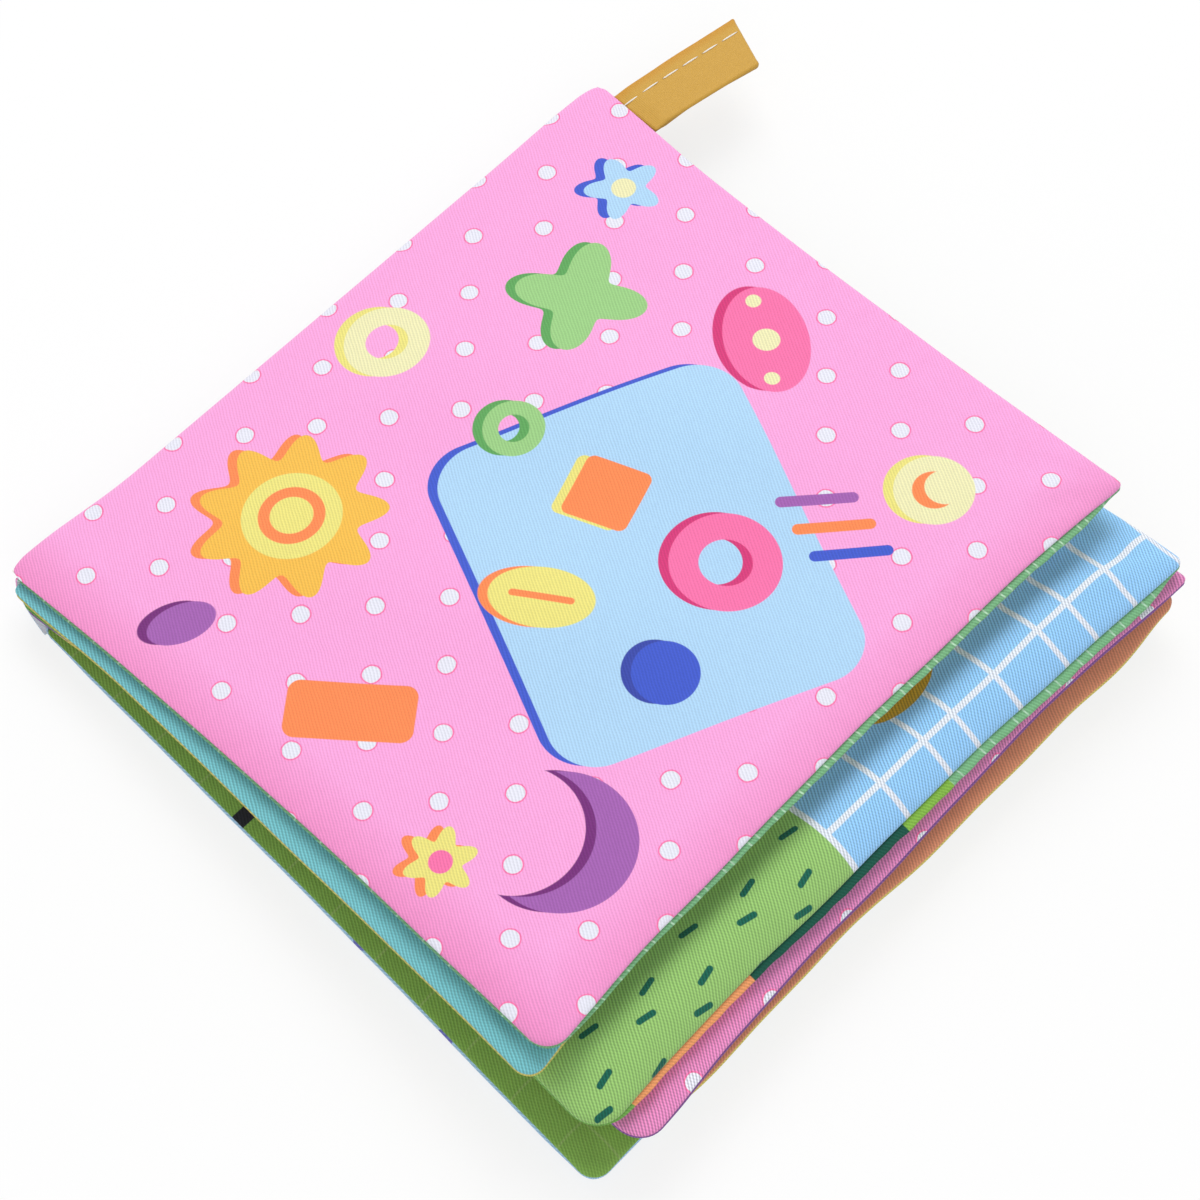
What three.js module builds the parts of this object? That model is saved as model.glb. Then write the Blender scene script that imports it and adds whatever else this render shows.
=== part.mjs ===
// Padded cloth picture book for a baby: six crowned leaves with crinkle film inside,
// sewn together along one folded spine, with a tape loop in the head seam of the front cover.
// Millimetres, +Z up. X runs from the spine to the fore-edge and Y from the tail to the head.
// The origin is the middle of the flat face that the closed book lies on.

import * as THREE from 'three';

// Leaves
const LEAF_HEIGHT = 150;
const LEAF_WIDTH = 150;
const LEAF_PITCH_AT_SPINE = 1.92;
const FAN_ANGLE_DEG = 7.1;
const AIR_BETWEEN_LEAVES = 0.36;
const CORNER_RADIUS = 3;
const FORE_TAIL_CORNER_RADIUS = 7;
const SIDE_PULL = 1.5;
const DRAWN_IN_WIDTH = 8;
const RIM_RISE_SHARE = 0.45;
const CROWN_RISE = 0.35;
const CROWN_MARGIN = 8;

// Layers of one leaf
const CLOTH_THICKNESS = 0.45;
const FILM_THICKNESS = 0.25;
const LAYER_CLEARANCE = 0.3;
const WADDING_INSET = 3;
const WADDING_EDGE_SLACK = 1.5;
const WADDING_SPINE_MARGIN = 22;
const FILM_EDGE_MARGIN = 13;
const FILM_SPINE_MARGIN = 52;
const FILM_RAMP_WIDTH = 12;

// Spine
const SEAM_AXIS_FROM_SPINE = 2.6;
const SEAM_THREAD_RADIUS = 0.85;
const FOLD_BULGE = 3.6;
const FOLD_END_SHORTFALL = 1;

// Tape loop in the head seam of the front cover
const LOOP_WIDTH = 11.5;
const LOOP_TAPE_THICKNESS = 0.8;
const LOOP_LENGTH = 28;
const LOOP_EYE_HEIGHT = 6.2;
const LOOP_UPPER_LEG_SHARE = 0.33;
const LOOP_FROM_SPINE = 10.2;
const LOOP_SIDEWAYS_DRIFT = 3;
const LOOP_SLANT_DEG = 9;
const LOOP_SKEW_SHARE = 0.13;
const LOOP_TIP_RADIUS = 1.3;

// The leaves from the bottom up. A leaf starts and ends at shares of the spine stack's height and of
// the leaf width, is pushed along the spine by a share of the leaf height, and is slightly off square.
const leaves = [
  { name: 'back_cover', startShare: 0.757, reachShare: 1.018, shiftShare: -0.013, slantShare: -0.024, leanShare: -0.012,
    upper: 0x6f9a45, lower: 0xa9d3f2 },
  { name: 'leaf_5', startShare: 0.553, reachShare: 1.024, shiftShare: 0.013, slantShare: 0, leanShare: 0,
    upper: 0xd2855c, lower: 0xe9cf62 },
  { name: 'leaf_4', startShare: 0.342, reachShare: 1.02, shiftShare: 0.006, slantShare: 0, leanShare: -0.038,
    upper: 0xf7a6dc, lower: 0x8c5da1 },
  { name: 'leaf_3', startShare: 0.342, reachShare: 0.997, shiftShare: -0.001, slantShare: -0.014, leanShare: -0.005,
    upper: 0x8ac5ea, lower: 0x6fae78 },
  { name: 'leaf_2', startShare: 0.105, reachShare: 0.91, shiftShare: -0.008, slantShare: -0.021, leanShare: -0.01,
    upper: 0x6fb9bf, lower: 0xe3d774 },
  { name: 'front_cover', startShare: 0.08, reachShare: 0.898, shiftShare: -0.001, slantShare: 0.001, leanShare: -0.021,
    upper: 0xfcafe3, lower: 0x86c08c },
];

// Mesh counts
const CLOTH_BAND_SHARES = [0, 0.12, 0.4];
const WADDING_BAND_SHARES = [0, 0.45];
const MIDDLE_CELLS = 5;
const FOLD_STEPS = 4;
const LOOP_LEG_STEPS = 8;
const LOOP_TIP_STEPS = 6;
const THREAD_SIDES = 10;

// Values that follow from those above
const spineStackHeight = LEAF_PITCH_AT_SPINE * leaves.length;
const leafAngle = THREE.MathUtils.degToRad(FAN_ANGLE_DEG) / leaves.length;
const rimHalfThickness = CLOTH_THICKNESS + LAYER_CLEARANCE / 2;
const crownEnd = Math.min(...leaves.map((leaf) => outlineOf(leaf).high)) - CROWN_MARGIN;
const seamAxisHeight = spineStackHeight / 2;

function material(color, roughness) {
  return new THREE.MeshStandardMaterial({ color, roughness, metalness: 0 });
}

function namedMesh(name, geometry, color, roughness = 0.85) {
  const mesh = new THREE.Mesh(geometry, material(color, roughness));
  mesh.name = name;
  return mesh;
}

function solidGeometry(vertices, faces) {
  const geometry = new THREE.BufferGeometry();
  geometry.setAttribute('position', new THREE.Float32BufferAttribute(vertices.flat(), 3));
  geometry.setIndex(faces.flat());
  geometry.computeVertexNormals();
  return geometry;
}

// A closed solid between an upper and a lower sheet of points on the same grid.
function sheetSolid(columns, rows, upperPoint, lowerPoint) {
  const vertices = [];
  const faces = [];
  const upperIndex = (i, j) => 2 * (i * rows + j);
  const lowerIndex = (i, j) => upperIndex(i, j) + 1;
  for (let i = 0; i < columns; i += 1) {
    for (let j = 0; j < rows; j += 1) {
      vertices.push(upperPoint(i, j));
      vertices.push(lowerPoint(i, j));
    }
  }
  const quad = (a, b, c, d) => {
    faces.push([a, b, c]);
    faces.push([a, c, d]);
  };
  for (let i = 0; i + 1 < columns; i += 1) {
    for (let j = 0; j + 1 < rows; j += 1) {
      quad(upperIndex(i, j), upperIndex(i + 1, j), upperIndex(i + 1, j + 1), upperIndex(i, j + 1));
      quad(lowerIndex(i, j), lowerIndex(i, j + 1), lowerIndex(i + 1, j + 1), lowerIndex(i + 1, j));
    }
  }
  const wall = (i0, j0, i1, j1) => {
    quad(upperIndex(i0, j0), lowerIndex(i0, j0), lowerIndex(i1, j1), upperIndex(i1, j1));
  };
  for (let i = 0; i + 1 < columns; i += 1) {
    wall(i, 0, i + 1, 0);
    wall(i + 1, rows - 1, i, rows - 1);
  }
  for (let j = 0; j + 1 < rows; j += 1) {
    wall(columns - 1, j, columns - 1, j + 1);
    wall(0, j + 1, 0, j);
  }
  return solidGeometry(vertices, faces);
}

// Places across the middle of a leaf, which all its layers share, so that they bend alike.
function middleLines(low, high) {
  const start = low + DRAWN_IN_WIDTH;
  const step = (high - low - 2 * DRAWN_IN_WIDTH) / MIDDLE_CELLS;
  return Array.from({ length: MIDDLE_CELLS + 1 }, (unused, cell) => start + step * cell);
}

// Places in the band that is drawn in along both sides of a leaf, close together towards the rim.
function bandLines(low, high, width, shares) {
  return shares.flatMap((share) => [low + width * share, high - width * share]);
}

function inOrder(lines) {
  return [...lines].sort((a, b) => a - b);
}

// The corner at the fore-edge and the tail is rounder than the others.
function cornerRadius(u, v, outline) {
  const isForeTail = u > (outline.low + outline.high) / 2 && v < 0;
  return isForeTail ? FORE_TAIL_CORNER_RADIUS : CORNER_RADIUS;
}

// Moves a point of a square grid so that the grid's corners become round.
function roundCorner(u, v, outline, inset) {
  const radius = cornerRadius(u, v, outline) - inset;
  const midU = (outline.low + outline.high) / 2;
  const alongU = Math.max(0, Math.abs(u - midU) - ((outline.high - outline.low) / 2 - radius));
  const alongV = Math.max(0, Math.abs(v) - (outline.half - radius));
  if (alongU === 0 || alongV === 0) {
    return [u, v];
  }
  const shareU = alongU / radius;
  const shareV = alongV / radius;
  const roundU = alongU * Math.sqrt(1 - shareV ** 2 / 2);
  const roundV = alongV * Math.sqrt(1 - shareU ** 2 / 2);
  return [u + Math.sign(u - midU) * (roundU - alongU), v + Math.sign(v) * (roundV - alongV)];
}

function outlineOf(leaf) {
  return {
    low: leaf.startShare * spineStackHeight,
    high: leaf.reachShare * LEAF_WIDTH,
    half: LEAF_HEIGHT / 2,
  };
}

// Distance from a point of the leaf to its rounded outline.
function distanceToRim(u, v, outline) {
  const fromEnds = Math.min(u - outline.low, outline.high - u);
  const fromSides = outline.half - Math.abs(v);
  const radius = cornerRadius(u, v, outline);
  if (fromEnds < radius && fromSides < radius) {
    return radius - Math.hypot(radius - fromEnds, radius - fromSides);
  }
  return Math.min(fromEnds, fromSides);
}

// Half of a leaf's full thickness, which grows with the distance from the spine as the leaves fan out.
function fullHalfThickness(u) {
  const wedge = 2 * u * Math.tan(leafAngle / 2);
  return (LEAF_PITCH_AT_SPINE + wedge - AIR_BETWEEN_LEAVES) / 2;
}

// The rim seam lies above the middle of the leaf, because the cloth below wraps round the edge.
function rimHeight(u) {
  return RIM_RISE_SHARE * (fullHalfThickness(u) - rimHalfThickness);
}

// The padding makes each leaf thicker in its middle, and the closed book rises by that for each leaf.
function crownRise(u, v, leaf) {
  const [x, y] = offSquare(u, v, leaf);
  const half = LEAF_HEIGHT / 2 - CROWN_MARGIN;
  const shareX = (2 * x - CROWN_MARGIN - crownEnd) / (crownEnd - CROWN_MARGIN);
  const shareY = (y + leaf.shiftShare * LEAF_HEIGHT) / half;
  return CROWN_RISE * Math.max(0, 1 - shareX ** 2) * Math.max(0, 1 - shareY ** 2);
}

// Height of a leaf's outer face: it swells like a round cushion edge from the rim seam.
// What lies inside takes its slack from the rim, so that it swells later than the cloth.
function faceHeight(u, v, leaf, side, slack = 0) {
  const fromRim = distanceToRim(u, v, outlineOf(leaf)) - slack;
  const share = Math.min(1, Math.max(0, fromRim / DRAWN_IN_WIDTH));
  const swell = Math.sqrt(1 - (1 - share) ** 2);
  const [x] = offSquare(u, v, leaf);
  const rim = rimHeight(x) + side * rimHalfThickness;
  const crowns = leaves.indexOf(leaf) + (side + 1) / 2;
  return rim + (side * fullHalfThickness(x) - rim) * swell + crowns * crownRise(u, v, leaf);
}

// The leaf as sewn is slightly off square: its ends slant, its fore-edge leans, and the padding pulls
// its three free sides in between the corners.
function offSquare(u, v, leaf) {
  const outline = outlineOf(leaf);
  const along = (u - outline.low) / (outline.high - outline.low);
  const across = v / outline.half;
  const pullU = SIDE_PULL * along ** 2 * (1 - across ** 2);
  const pullV = SIDE_PULL * across * (1 - (2 * along - 1) ** 2);
  return [
    u + leaf.leanShare * v * along - pullU,
    v + leaf.slantShare * (u - outline.low) - pullV,
  ];
}

function layerSolid(leaf, area, inset, lines, upperHeight, lowerHeight) {
  const grid = lines.u.map((u) => lines.v.map((v) => roundCorner(u, v, area, inset)));
  const point = (height) => (i, j) => {
    const [u, v] = grid[i][j];
    return [...offSquare(u, v, leaf), height(u, v)];
  };
  return sheetSolid(lines.u.length, lines.v.length, point(upperHeight), point(lowerHeight));
}

function clothSolid(leaf, side) {
  const outline = outlineOf(leaf);
  const across = (low, high) => inOrder([
    ...bandLines(low, high, DRAWN_IN_WIDTH, CLOTH_BAND_SHARES),
    ...middleLines(low, high),
  ]);
  const lines = { u: across(outline.low, outline.high), v: across(-outline.half, outline.half) };
  const outer = (u, v) => faceHeight(u, v, leaf, side);
  const inner = (u, v) => outer(u, v) - side * CLOTH_THICKNESS;
  const upper = side > 0 ? outer : inner;
  const lower = side > 0 ? inner : outer;
  return layerSolid(leaf, outline, 0, lines, upper, lower);
}

// Room that the crinkle film takes above the wadding, growing from none near the spine.
function filmRoom(u) {
  const share = THREE.MathUtils.smoothstep(u, FILM_SPINE_MARGIN - FILM_RAMP_WIDTH, FILM_SPINE_MARGIN);
  return share * (FILM_THICKNESS + LAYER_CLEARANCE);
}

function waddingSolid(leaf) {
  const outline = outlineOf(leaf);
  const area = {
    low: outline.low + WADDING_SPINE_MARGIN,
    high: outline.high - WADDING_INSET,
    half: outline.half - WADDING_INSET,
  };
  const band = DRAWN_IN_WIDTH - WADDING_INSET;
  const lines = {
    u: inOrder([
      ...bandLines(area.low, area.high, band, WADDING_BAND_SHARES),
      ...middleLines(outline.low, outline.high).filter((u) => u > area.low + band),
      FILM_SPINE_MARGIN - FILM_RAMP_WIDTH,
      FILM_SPINE_MARGIN,
    ]),
    v: inOrder([
      ...bandLines(-area.half, area.half, band, WADDING_BAND_SHARES),
      ...middleLines(-outline.half, outline.half),
    ]),
  };
  const clothRoom = CLOTH_THICKNESS + LAYER_CLEARANCE;
  const face = (u, v, side) => faceHeight(u, v, leaf, side, WADDING_EDGE_SLACK);
  const upper = (u, v) => face(u, v, 1) - clothRoom - filmRoom(u);
  const lower = (u, v) => face(u, v, -1) + clothRoom;
  return layerSolid(leaf, area, WADDING_INSET, lines, upper, lower);
}

function filmSolid(leaf) {
  const outline = outlineOf(leaf);
  const area = {
    low: FILM_SPINE_MARGIN,
    high: outline.high - FILM_EDGE_MARGIN,
    half: outline.half - FILM_EDGE_MARGIN,
  };
  const across = (low, high, middle) => [low, ...middle.filter((line) => line > low && line < high), high];
  const lines = {
    u: across(area.low, area.high, middleLines(outline.low, outline.high)),
    v: across(-area.half, area.half, middleLines(-outline.half, outline.half)),
  };
  const upper = (u, v) => faceHeight(u, v, leaf, 1) - CLOTH_THICKNESS - LAYER_CLEARANCE;
  const lower = (u, v) => upper(u, v) - FILM_THICKNESS;
  return layerSolid(leaf, area, CORNER_RADIUS, lines, upper, lower);
}

// One leaf lies in its own wedge of the closed book, tilted up from the spine.
function leafGroup(leaf, position) {
  const group = new THREE.Group();
  group.position.set(0, leaf.shiftShare * LEAF_HEIGHT, leafHeightAtSpine(position));
  group.rotation.y = -leafTilt(position);
  group.add(namedMesh(`${leaf.name}_upper_cloth`, clothSolid(leaf, 1), leaf.upper));
  group.add(namedMesh(`${leaf.name}_crinkle_film`, filmSolid(leaf), 0xe8ecf0, 0.3));
  group.add(namedMesh(`${leaf.name}_wadding`, waddingSolid(leaf), 0xf6f4ee, 0.95));
  group.add(namedMesh(`${leaf.name}_lower_cloth`, clothSolid(leaf, -1), leaf.lower));
  return group;
}

function leafHeightAtSpine(position) {
  return LEAF_PITCH_AT_SPINE * (position + 0.5) - AIR_BETWEEN_LEAVES / 2;
}

function leafTilt(position) {
  return leafAngle * (position + 0.5);
}

// Seam thread that holds all leaves, on the axis that they turn about.
function seamThread() {
  const length = LEAF_HEIGHT - 2 * FOLD_END_SHORTFALL;
  const thread = new THREE.CylinderGeometry(SEAM_THREAD_RADIUS, SEAM_THREAD_RADIUS, length, THREAD_SIDES);
  const mesh = namedMesh('spine_seam_thread', thread, 0xf3f1ea, 0.6);
  mesh.position.set(SEAM_AXIS_FROM_SPINE, 0, seamAxisHeight);
  return mesh;
}

// The outer cloth folds round the spine from the front cover's rim to the back cover's.
function foldCurve() {
  const top = leaves.length - 1;
  const clearOfRim = LAYER_CLEARANCE + CLOTH_THICKNESS / 2;
  const start = new THREE.Vector2(
    outlineOf(leaves[top]).low - clearOfRim - rimHalfThickness * Math.sin(leafTilt(top)),
    leafHeightAtSpine(top),
  );
  const end = new THREE.Vector2(outlineOf(leaves[0]).low - clearOfRim, leafHeightAtSpine(0));
  const chord = end.clone().sub(start);
  const outward = new THREE.Vector2(chord.y, -chord.x).normalize().multiplyScalar(FOLD_BULGE);
  const third = chord.clone().multiplyScalar(1 / 3);
  const first = start.clone().add(third).add(outward);
  const second = end.clone().sub(third).add(outward);
  return new THREE.CubicBezierCurve(start, first, second, end);
}

function angleAboutSeam(point) {
  const angle = Math.atan2(point.y - seamAxisHeight, point.x - SEAM_AXIS_FROM_SPINE);
  return angle < 0 ? angle + 2 * Math.PI : angle;
}

// Finds the place on the fold that lies at a given angle about the seam.
function foldParameterAt(curve, angle) {
  let low = 0;
  let high = 1;
  const halvings = 40;
  for (let step = 0; step < halvings; step += 1) {
    const middle = (low + high) / 2;
    if (angleAboutSeam(curve.getPoint(middle)) < angle) {
      low = middle;
    } else {
      high = middle;
    }
  }
  return (low + high) / 2;
}

// The fold is one strip for each pair of neighbouring leaves, all of one angle about the seam, so
// that each strip gathers by as much as its pair opens.
function foldStrip(curve, index) {
  const firstAngle = angleAboutSeam(curve.getPoint(0));
  const lastAngle = angleAboutSeam(curve.getPoint(1));
  const strips = leaves.length - 1;
  const angleAt = (share) => firstAngle + (lastAngle - firstAngle) * share;
  const length = curve.getLength();
  const trim = LAYER_CLEARANCE / 2 / length;
  const from = foldParameterAt(curve, angleAt(index / strips)) + trim;
  const to = foldParameterAt(curve, angleAt((index + 1) / strips)) - trim;
  const halfLength = LEAF_HEIGHT / 2 - FOLD_END_SHORTFALL;
  const point = (offset) => (i, j) => {
    const t = from + ((to - from) * i) / FOLD_STEPS;
    const place = curve.getPoint(t);
    const along = curve.getTangent(t);
    const side = offset * (CLOTH_THICKNESS / 2);
    return [place.x - along.y * side, halfLength * (2 * j - 1), place.y + along.x * side];
  };
  return sheetSolid(FOLD_STEPS + 1, 2, point(1), point(-1));
}

function spineFold() {
  const group = new THREE.Group();
  const curve = foldCurve();
  const strips = leaves.length - 1;
  for (let index = 0; index < strips; index += 1) {
    const color = index < strips / 2 ? leaves[strips].upper : leaves[0].lower;
    group.add(namedMesh(`spine_fold_${strips - index}`, foldStrip(curve, index), color));
  }
  return group;
}

// Middle line of the loop's tape in its own frame: out along the upper leg, round the tip and back
// along the lower leg, which sags away from the upper one to leave the eye open.
function loopRoute() {
  const legGap = LOOP_TAPE_THICKNESS + LAYER_CLEARANCE;
  const legLength = LOOP_LENGTH - LOOP_TIP_RADIUS - LOOP_TAPE_THICKNESS / 2;
  const eyeShare = (share) => Math.sin(Math.PI * share) ** 1.2;
  const tipHalf = LOOP_TIP_RADIUS;
  const upperBow = LOOP_EYE_HEIGHT * LOOP_UPPER_LEG_SHARE;
  const lowerSag = LOOP_EYE_HEIGHT - upperBow;
  const points = [];
  for (let step = 0; step <= LOOP_LEG_STEPS; step += 1) {
    const share = step / LOOP_LEG_STEPS;
    const rise = THREE.MathUtils.lerp(legGap / 2, tipHalf, share);
    points.push([0, legLength * share, rise + upperBow * eyeShare(share)]);
  }
  for (let step = 1; step < LOOP_TIP_STEPS; step += 1) {
    const turn = (Math.PI * step) / LOOP_TIP_STEPS;
    points.push([0, legLength + tipHalf * Math.sin(turn), tipHalf * Math.cos(turn)]);
  }
  for (let step = LOOP_LEG_STEPS; step >= 0; step -= 1) {
    const share = step / LOOP_LEG_STEPS;
    const drop = THREE.MathUtils.lerp(legGap / 2, tipHalf, share);
    points.push([
      -LOOP_SIDEWAYS_DRIFT * eyeShare(share),
      legLength * share,
      -drop - lowerSag * eyeShare(share),
    ]);
  }
  return points;
}

function tapeLoop() {
  const route = loopRoute();
  const point = (offset) => (i, j) => {
    const before = route[Math.max(0, i - 1)];
    const after = route[Math.min(route.length - 1, i + 1)];
    const along = new THREE.Vector2(after[1] - before[1], after[2] - before[2]).normalize();
    const side = (offset * LOOP_TAPE_THICKNESS) / 2;
    const [x, y, z] = route[i];
    const slanted = x + y * Math.tan(THREE.MathUtils.degToRad(LOOP_SLANT_DEG));
    const skewed = y * (1 + LOOP_SKEW_SHARE * (j - 0.5));
    return [slanted + LOOP_WIDTH * (0.5 - j), skewed - along.y * side, z + along.x * side];
  };
  const mesh = namedMesh('hanging_loop', sheetSolid(route.length, 2, point(1), point(-1)), 0xe1b946, 0.6);
  const top = leaves.length - 1;
  const cover = leaves[top];
  mesh.position.set(LOOP_FROM_SPINE, LEAF_HEIGHT / 2 + LAYER_CLEARANCE, rimHeight(LOOP_FROM_SPINE));
  const seat = new THREE.Group();
  seat.position.set(0, cover.shiftShare * LEAF_HEIGHT, leafHeightAtSpine(top));
  seat.rotation.y = -leafTilt(top);
  seat.add(mesh);
  return seat;
}

function closedBook() {
  const book = new THREE.Group();
  leaves.forEach((leaf, position) => book.add(leafGroup(leaf, position)));
  book.add(seamThread());
  book.add(spineFold());
  book.add(tapeLoop());
  const base = outlineOf(leaves[0]);
  book.position.set(-(base.low + base.high) / 2, -leaves[0].shiftShare * LEAF_HEIGHT, 0);
  return book;
}

export default closedBook();
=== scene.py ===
"""Dresses a padded cloth book for a baby: six sewn leaves with wadding and crinkle film inside, a cloth
spine and a tape loop. Lengths are metres, +Z is up, X runs from the spine to the fore-edge and Y from
the tail to the head. The prints are drawn in millimetres on the cloth's own UV map."""

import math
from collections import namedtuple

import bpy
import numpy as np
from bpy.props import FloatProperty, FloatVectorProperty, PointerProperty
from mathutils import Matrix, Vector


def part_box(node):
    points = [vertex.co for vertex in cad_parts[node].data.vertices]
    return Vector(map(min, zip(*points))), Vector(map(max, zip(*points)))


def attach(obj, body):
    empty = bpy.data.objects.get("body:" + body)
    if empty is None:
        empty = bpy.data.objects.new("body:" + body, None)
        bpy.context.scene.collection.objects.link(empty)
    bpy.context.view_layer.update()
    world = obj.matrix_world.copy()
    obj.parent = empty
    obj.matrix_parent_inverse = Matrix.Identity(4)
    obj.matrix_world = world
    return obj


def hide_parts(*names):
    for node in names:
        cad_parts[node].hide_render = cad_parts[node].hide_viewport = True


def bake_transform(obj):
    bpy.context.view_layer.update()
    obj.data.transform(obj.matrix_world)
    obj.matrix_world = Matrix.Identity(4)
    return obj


bl_info = {
    "name": "Padded cloth book",
    "version": (1, 0, 0),
    "blender": (4, 5, 0),
    "location": "3D View > Sidebar > Cloth Book",
    "description": "Makes the cloths, wadding, film, spine and tape loop of a padded cloth book",
    "category": "Add Mesh",
}

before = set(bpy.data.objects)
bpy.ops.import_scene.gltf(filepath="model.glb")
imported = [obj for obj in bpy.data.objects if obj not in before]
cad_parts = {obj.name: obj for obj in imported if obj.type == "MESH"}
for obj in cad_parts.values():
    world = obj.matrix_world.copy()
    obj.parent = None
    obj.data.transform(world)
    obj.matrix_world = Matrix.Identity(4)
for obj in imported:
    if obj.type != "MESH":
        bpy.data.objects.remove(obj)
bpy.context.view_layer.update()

MM = 0.001
QUARTER_TURN = math.pi / 2
CLOTH_UV = "cloth"

# The leaves from the bottom up: shares of the spine stack's height, of the leaf width and of the leaf
# height, how far each is off square, and how high its rim sits above its middle. Then in millimetres:
# how far its lower cloth rolls over the rim at the fore-edge (with the share of it that is lost at the
# tail end) and over the rim at the tail, how far its fore-edge waves, how far its fore-edge and tail
# draw back, and how far its free fore-edge strip puffs up.
LeafForm = namedtuple(
    "LeafForm",
    "name start reach shift slant lean rim_rise fore_roll roll_loss tail_roll wave fore_in tail_in puff",
)
LEAF_FORMS = (
    LeafForm("back_cover", 0.757, 1.018, -0.013, -0.024, -0.012, 0.45, 0.2, 0, 0.45, 0.2, 0, -0.9, 0),
    LeafForm("leaf_5", 0.553, 1.024, 0.013, 0, 0, 0.45, 0.2, 0, 0, 0.6, -1.5, 0, 0),
    LeafForm("leaf_4", 0.342, 1.02, 0.006, 0, -0.038, 0.35, 0.35, 0.3, 0.3, 0.3, -0.3, 0, 0.3),
    LeafForm("leaf_3", 0.342, 0.997, -0.001, -0.014, -0.005, -0.2, 1.9, 0.4, 0.1, 0.3, -0.6, 0, 1.9),
    LeafForm("leaf_2", 0.105, 0.91, -0.008, -0.021, -0.01, 0.3, 0.3, 0.3, 0.05, 0.3, 2.8, -1.2, 0),
    LeafForm("front_cover", 0.08, 0.898, -0.001, 0.001, -0.021, 0.05, 1.5, 0.55, 0.4, 0.2, -0.4, 0, 0),
)
# The corners of each leaf: how far the cloth strays to the fore-edge and to the head, and the radius
Corner = namedtuple("Corner", "to_fore to_head radius")
Corners = namedtuple("Corners", "fore_head fore_tail spine_head spine_tail")
LEAF_CORNERS = {
    "back_cover": Corners(Corner(-1, -1, 1), Corner(-0.1, 0.1, 4), Corner(0, 0, 1), Corner(-0.5, 0, 1)),
    "leaf_5": Corners(Corner(-2.6, -4.2, 3), Corner(0.3, 1.8, 7), Corner(0, 0, 1.2), Corner(0, -3.2, 1.2)),
    "leaf_4": Corners(Corner(1.6, -1.1, 1.2), Corner(0.6, 2, 5.5), Corner(0, 0, 1.2), Corner(-0.5, -3, 1.2)),
    "leaf_3": Corners(Corner(0.7, 2.2, 1.8), Corner(1, 0, 7), Corner(0, 0, 1.2), Corner(-1, -2.2, 1.2)),
    "leaf_2": Corners(Corner(-1.2, -0.6, 1.2), Corner(0, 0, 4), Corner(0, 0, 1.2), Corner(-0.3, -1, 1.5)),
    "front_cover": Corners(
        Corner(1.3, -0.1, 1.5), Corner(1.4, 0.3, 5), Corner(-0.4, 0.6, 2), Corner(-2, -0.4, 2)
    ),
}
UPPER, LOWER = 1, -1
SIDE_NAMES = {UPPER: "upper_cloth", LOWER: "lower_cloth"}

# Mesh counts
BAND_STEPS = 9
MIDDLE_STEPS = 92
LIP_STEPS = 10
PADDING_STEPS = 56
FILM_STEPS = 88
FOLD_STEPS = 12
FOLD_LENGTH_STEPS = 110
TAPE_LEG_STEPS = 30
TAPE_TIP_STEPS = 12
TAPE_WIDTH_STEPS = 20
THREAD_POINTS = 420
THREAD_SIDES = 24

# Puckers: how their depth is brought to 1 at a third of their reach, the rays of folds at each corner,
# and how thin a leaf is where it has no room for them
PUCKER_PEAK = 6.75
CORNER_RAYS = 9
RAY_REACH = 1.6
RAY_DEPTH = 1.4
NO_PUCKER_BELOW = 0.7 * MM
PUCKER_ROOM = 0.8 * MM

# How much sooner the outer cloth's roll over the spine is done than the turn of the cloth's edge
ROLL_LEAD = 1.6

# The spine cloth: its ripples, and how far from its ends it flares
FOLD_RIPPLE = 0.12 * MM
FLARE_REACH = 6 * MM

# The tape: how far it is squeezed at the seam, the bead along its woven edges and their rounding
TAPE_SQUEEZE = 0.65
BEAD_RISE = 0.3
BEAD_PLACE = 0.45 * MM
BEAD_WIDTH = 0.3 * MM
TAPE_ROUNDING = 0.35 * MM
THINNEST_EDGE = 0.05
FIRST_STITCH_STEP = 2

# Stitches along the rims: how many rings of the lip lie deeper, and the share of the rim they follow
RIM_STITCH = 1.3 * MM
RIM_STITCH_GAP = 1.9 * MM
RIM_THREAD_RADIUS = 0.13 * MM
RINGS_BELOW_STITCHES = 3
STITCHED_SHARE = 0.74

# The seam thread: its plies, how deep they part and how its ends are rounded
THREAD_PLIES = 3
PLY_DEPTH = 0.14
THREAD_END = 0.6 * MM
BLUNT_END = 0.02

# The stage, in metres, and the sensor that the lens is given for, in millimetres
FLOOR_HALF = 2.0
KEY_PLACE = (-0.8, 0.75, 1.4)
KEY_SIZE = 1.1
FILL_PLACE = (0.55, -0.5, 0.75)
FILL_SIZE = 0.8
SENSOR_WIDTH = 36


def length(name, description, millimetres):
    return FloatProperty(
        name=name, description=description, default=millimetres * MM, precision=5,
        subtype="DISTANCE", unit="LENGTH",
    )


def share(name, description, value):
    return FloatProperty(name=name, description=description, default=value, min=0, subtype="FACTOR")


def angle(name, description, degrees):
    return FloatProperty(
        name=name, description=description, default=math.radians(degrees),
        subtype="ANGLE", unit="ROTATION",
    )


def colour(name, description, red, green, blue):
    return FloatVectorProperty(
        name=name, description=description, default=linear(red, green, blue),
        size=3, min=0, max=1, subtype="COLOR",
    )


def linear(*levels):
    """Scene-linear values of a colour that is written as levels from 0 to 255."""
    shares = [level / 255 for level in levels]
    return tuple(s / 12.92 if s <= 0.04045 else ((s + 0.055) / 1.055) ** 2.4 for s in shares)


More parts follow.
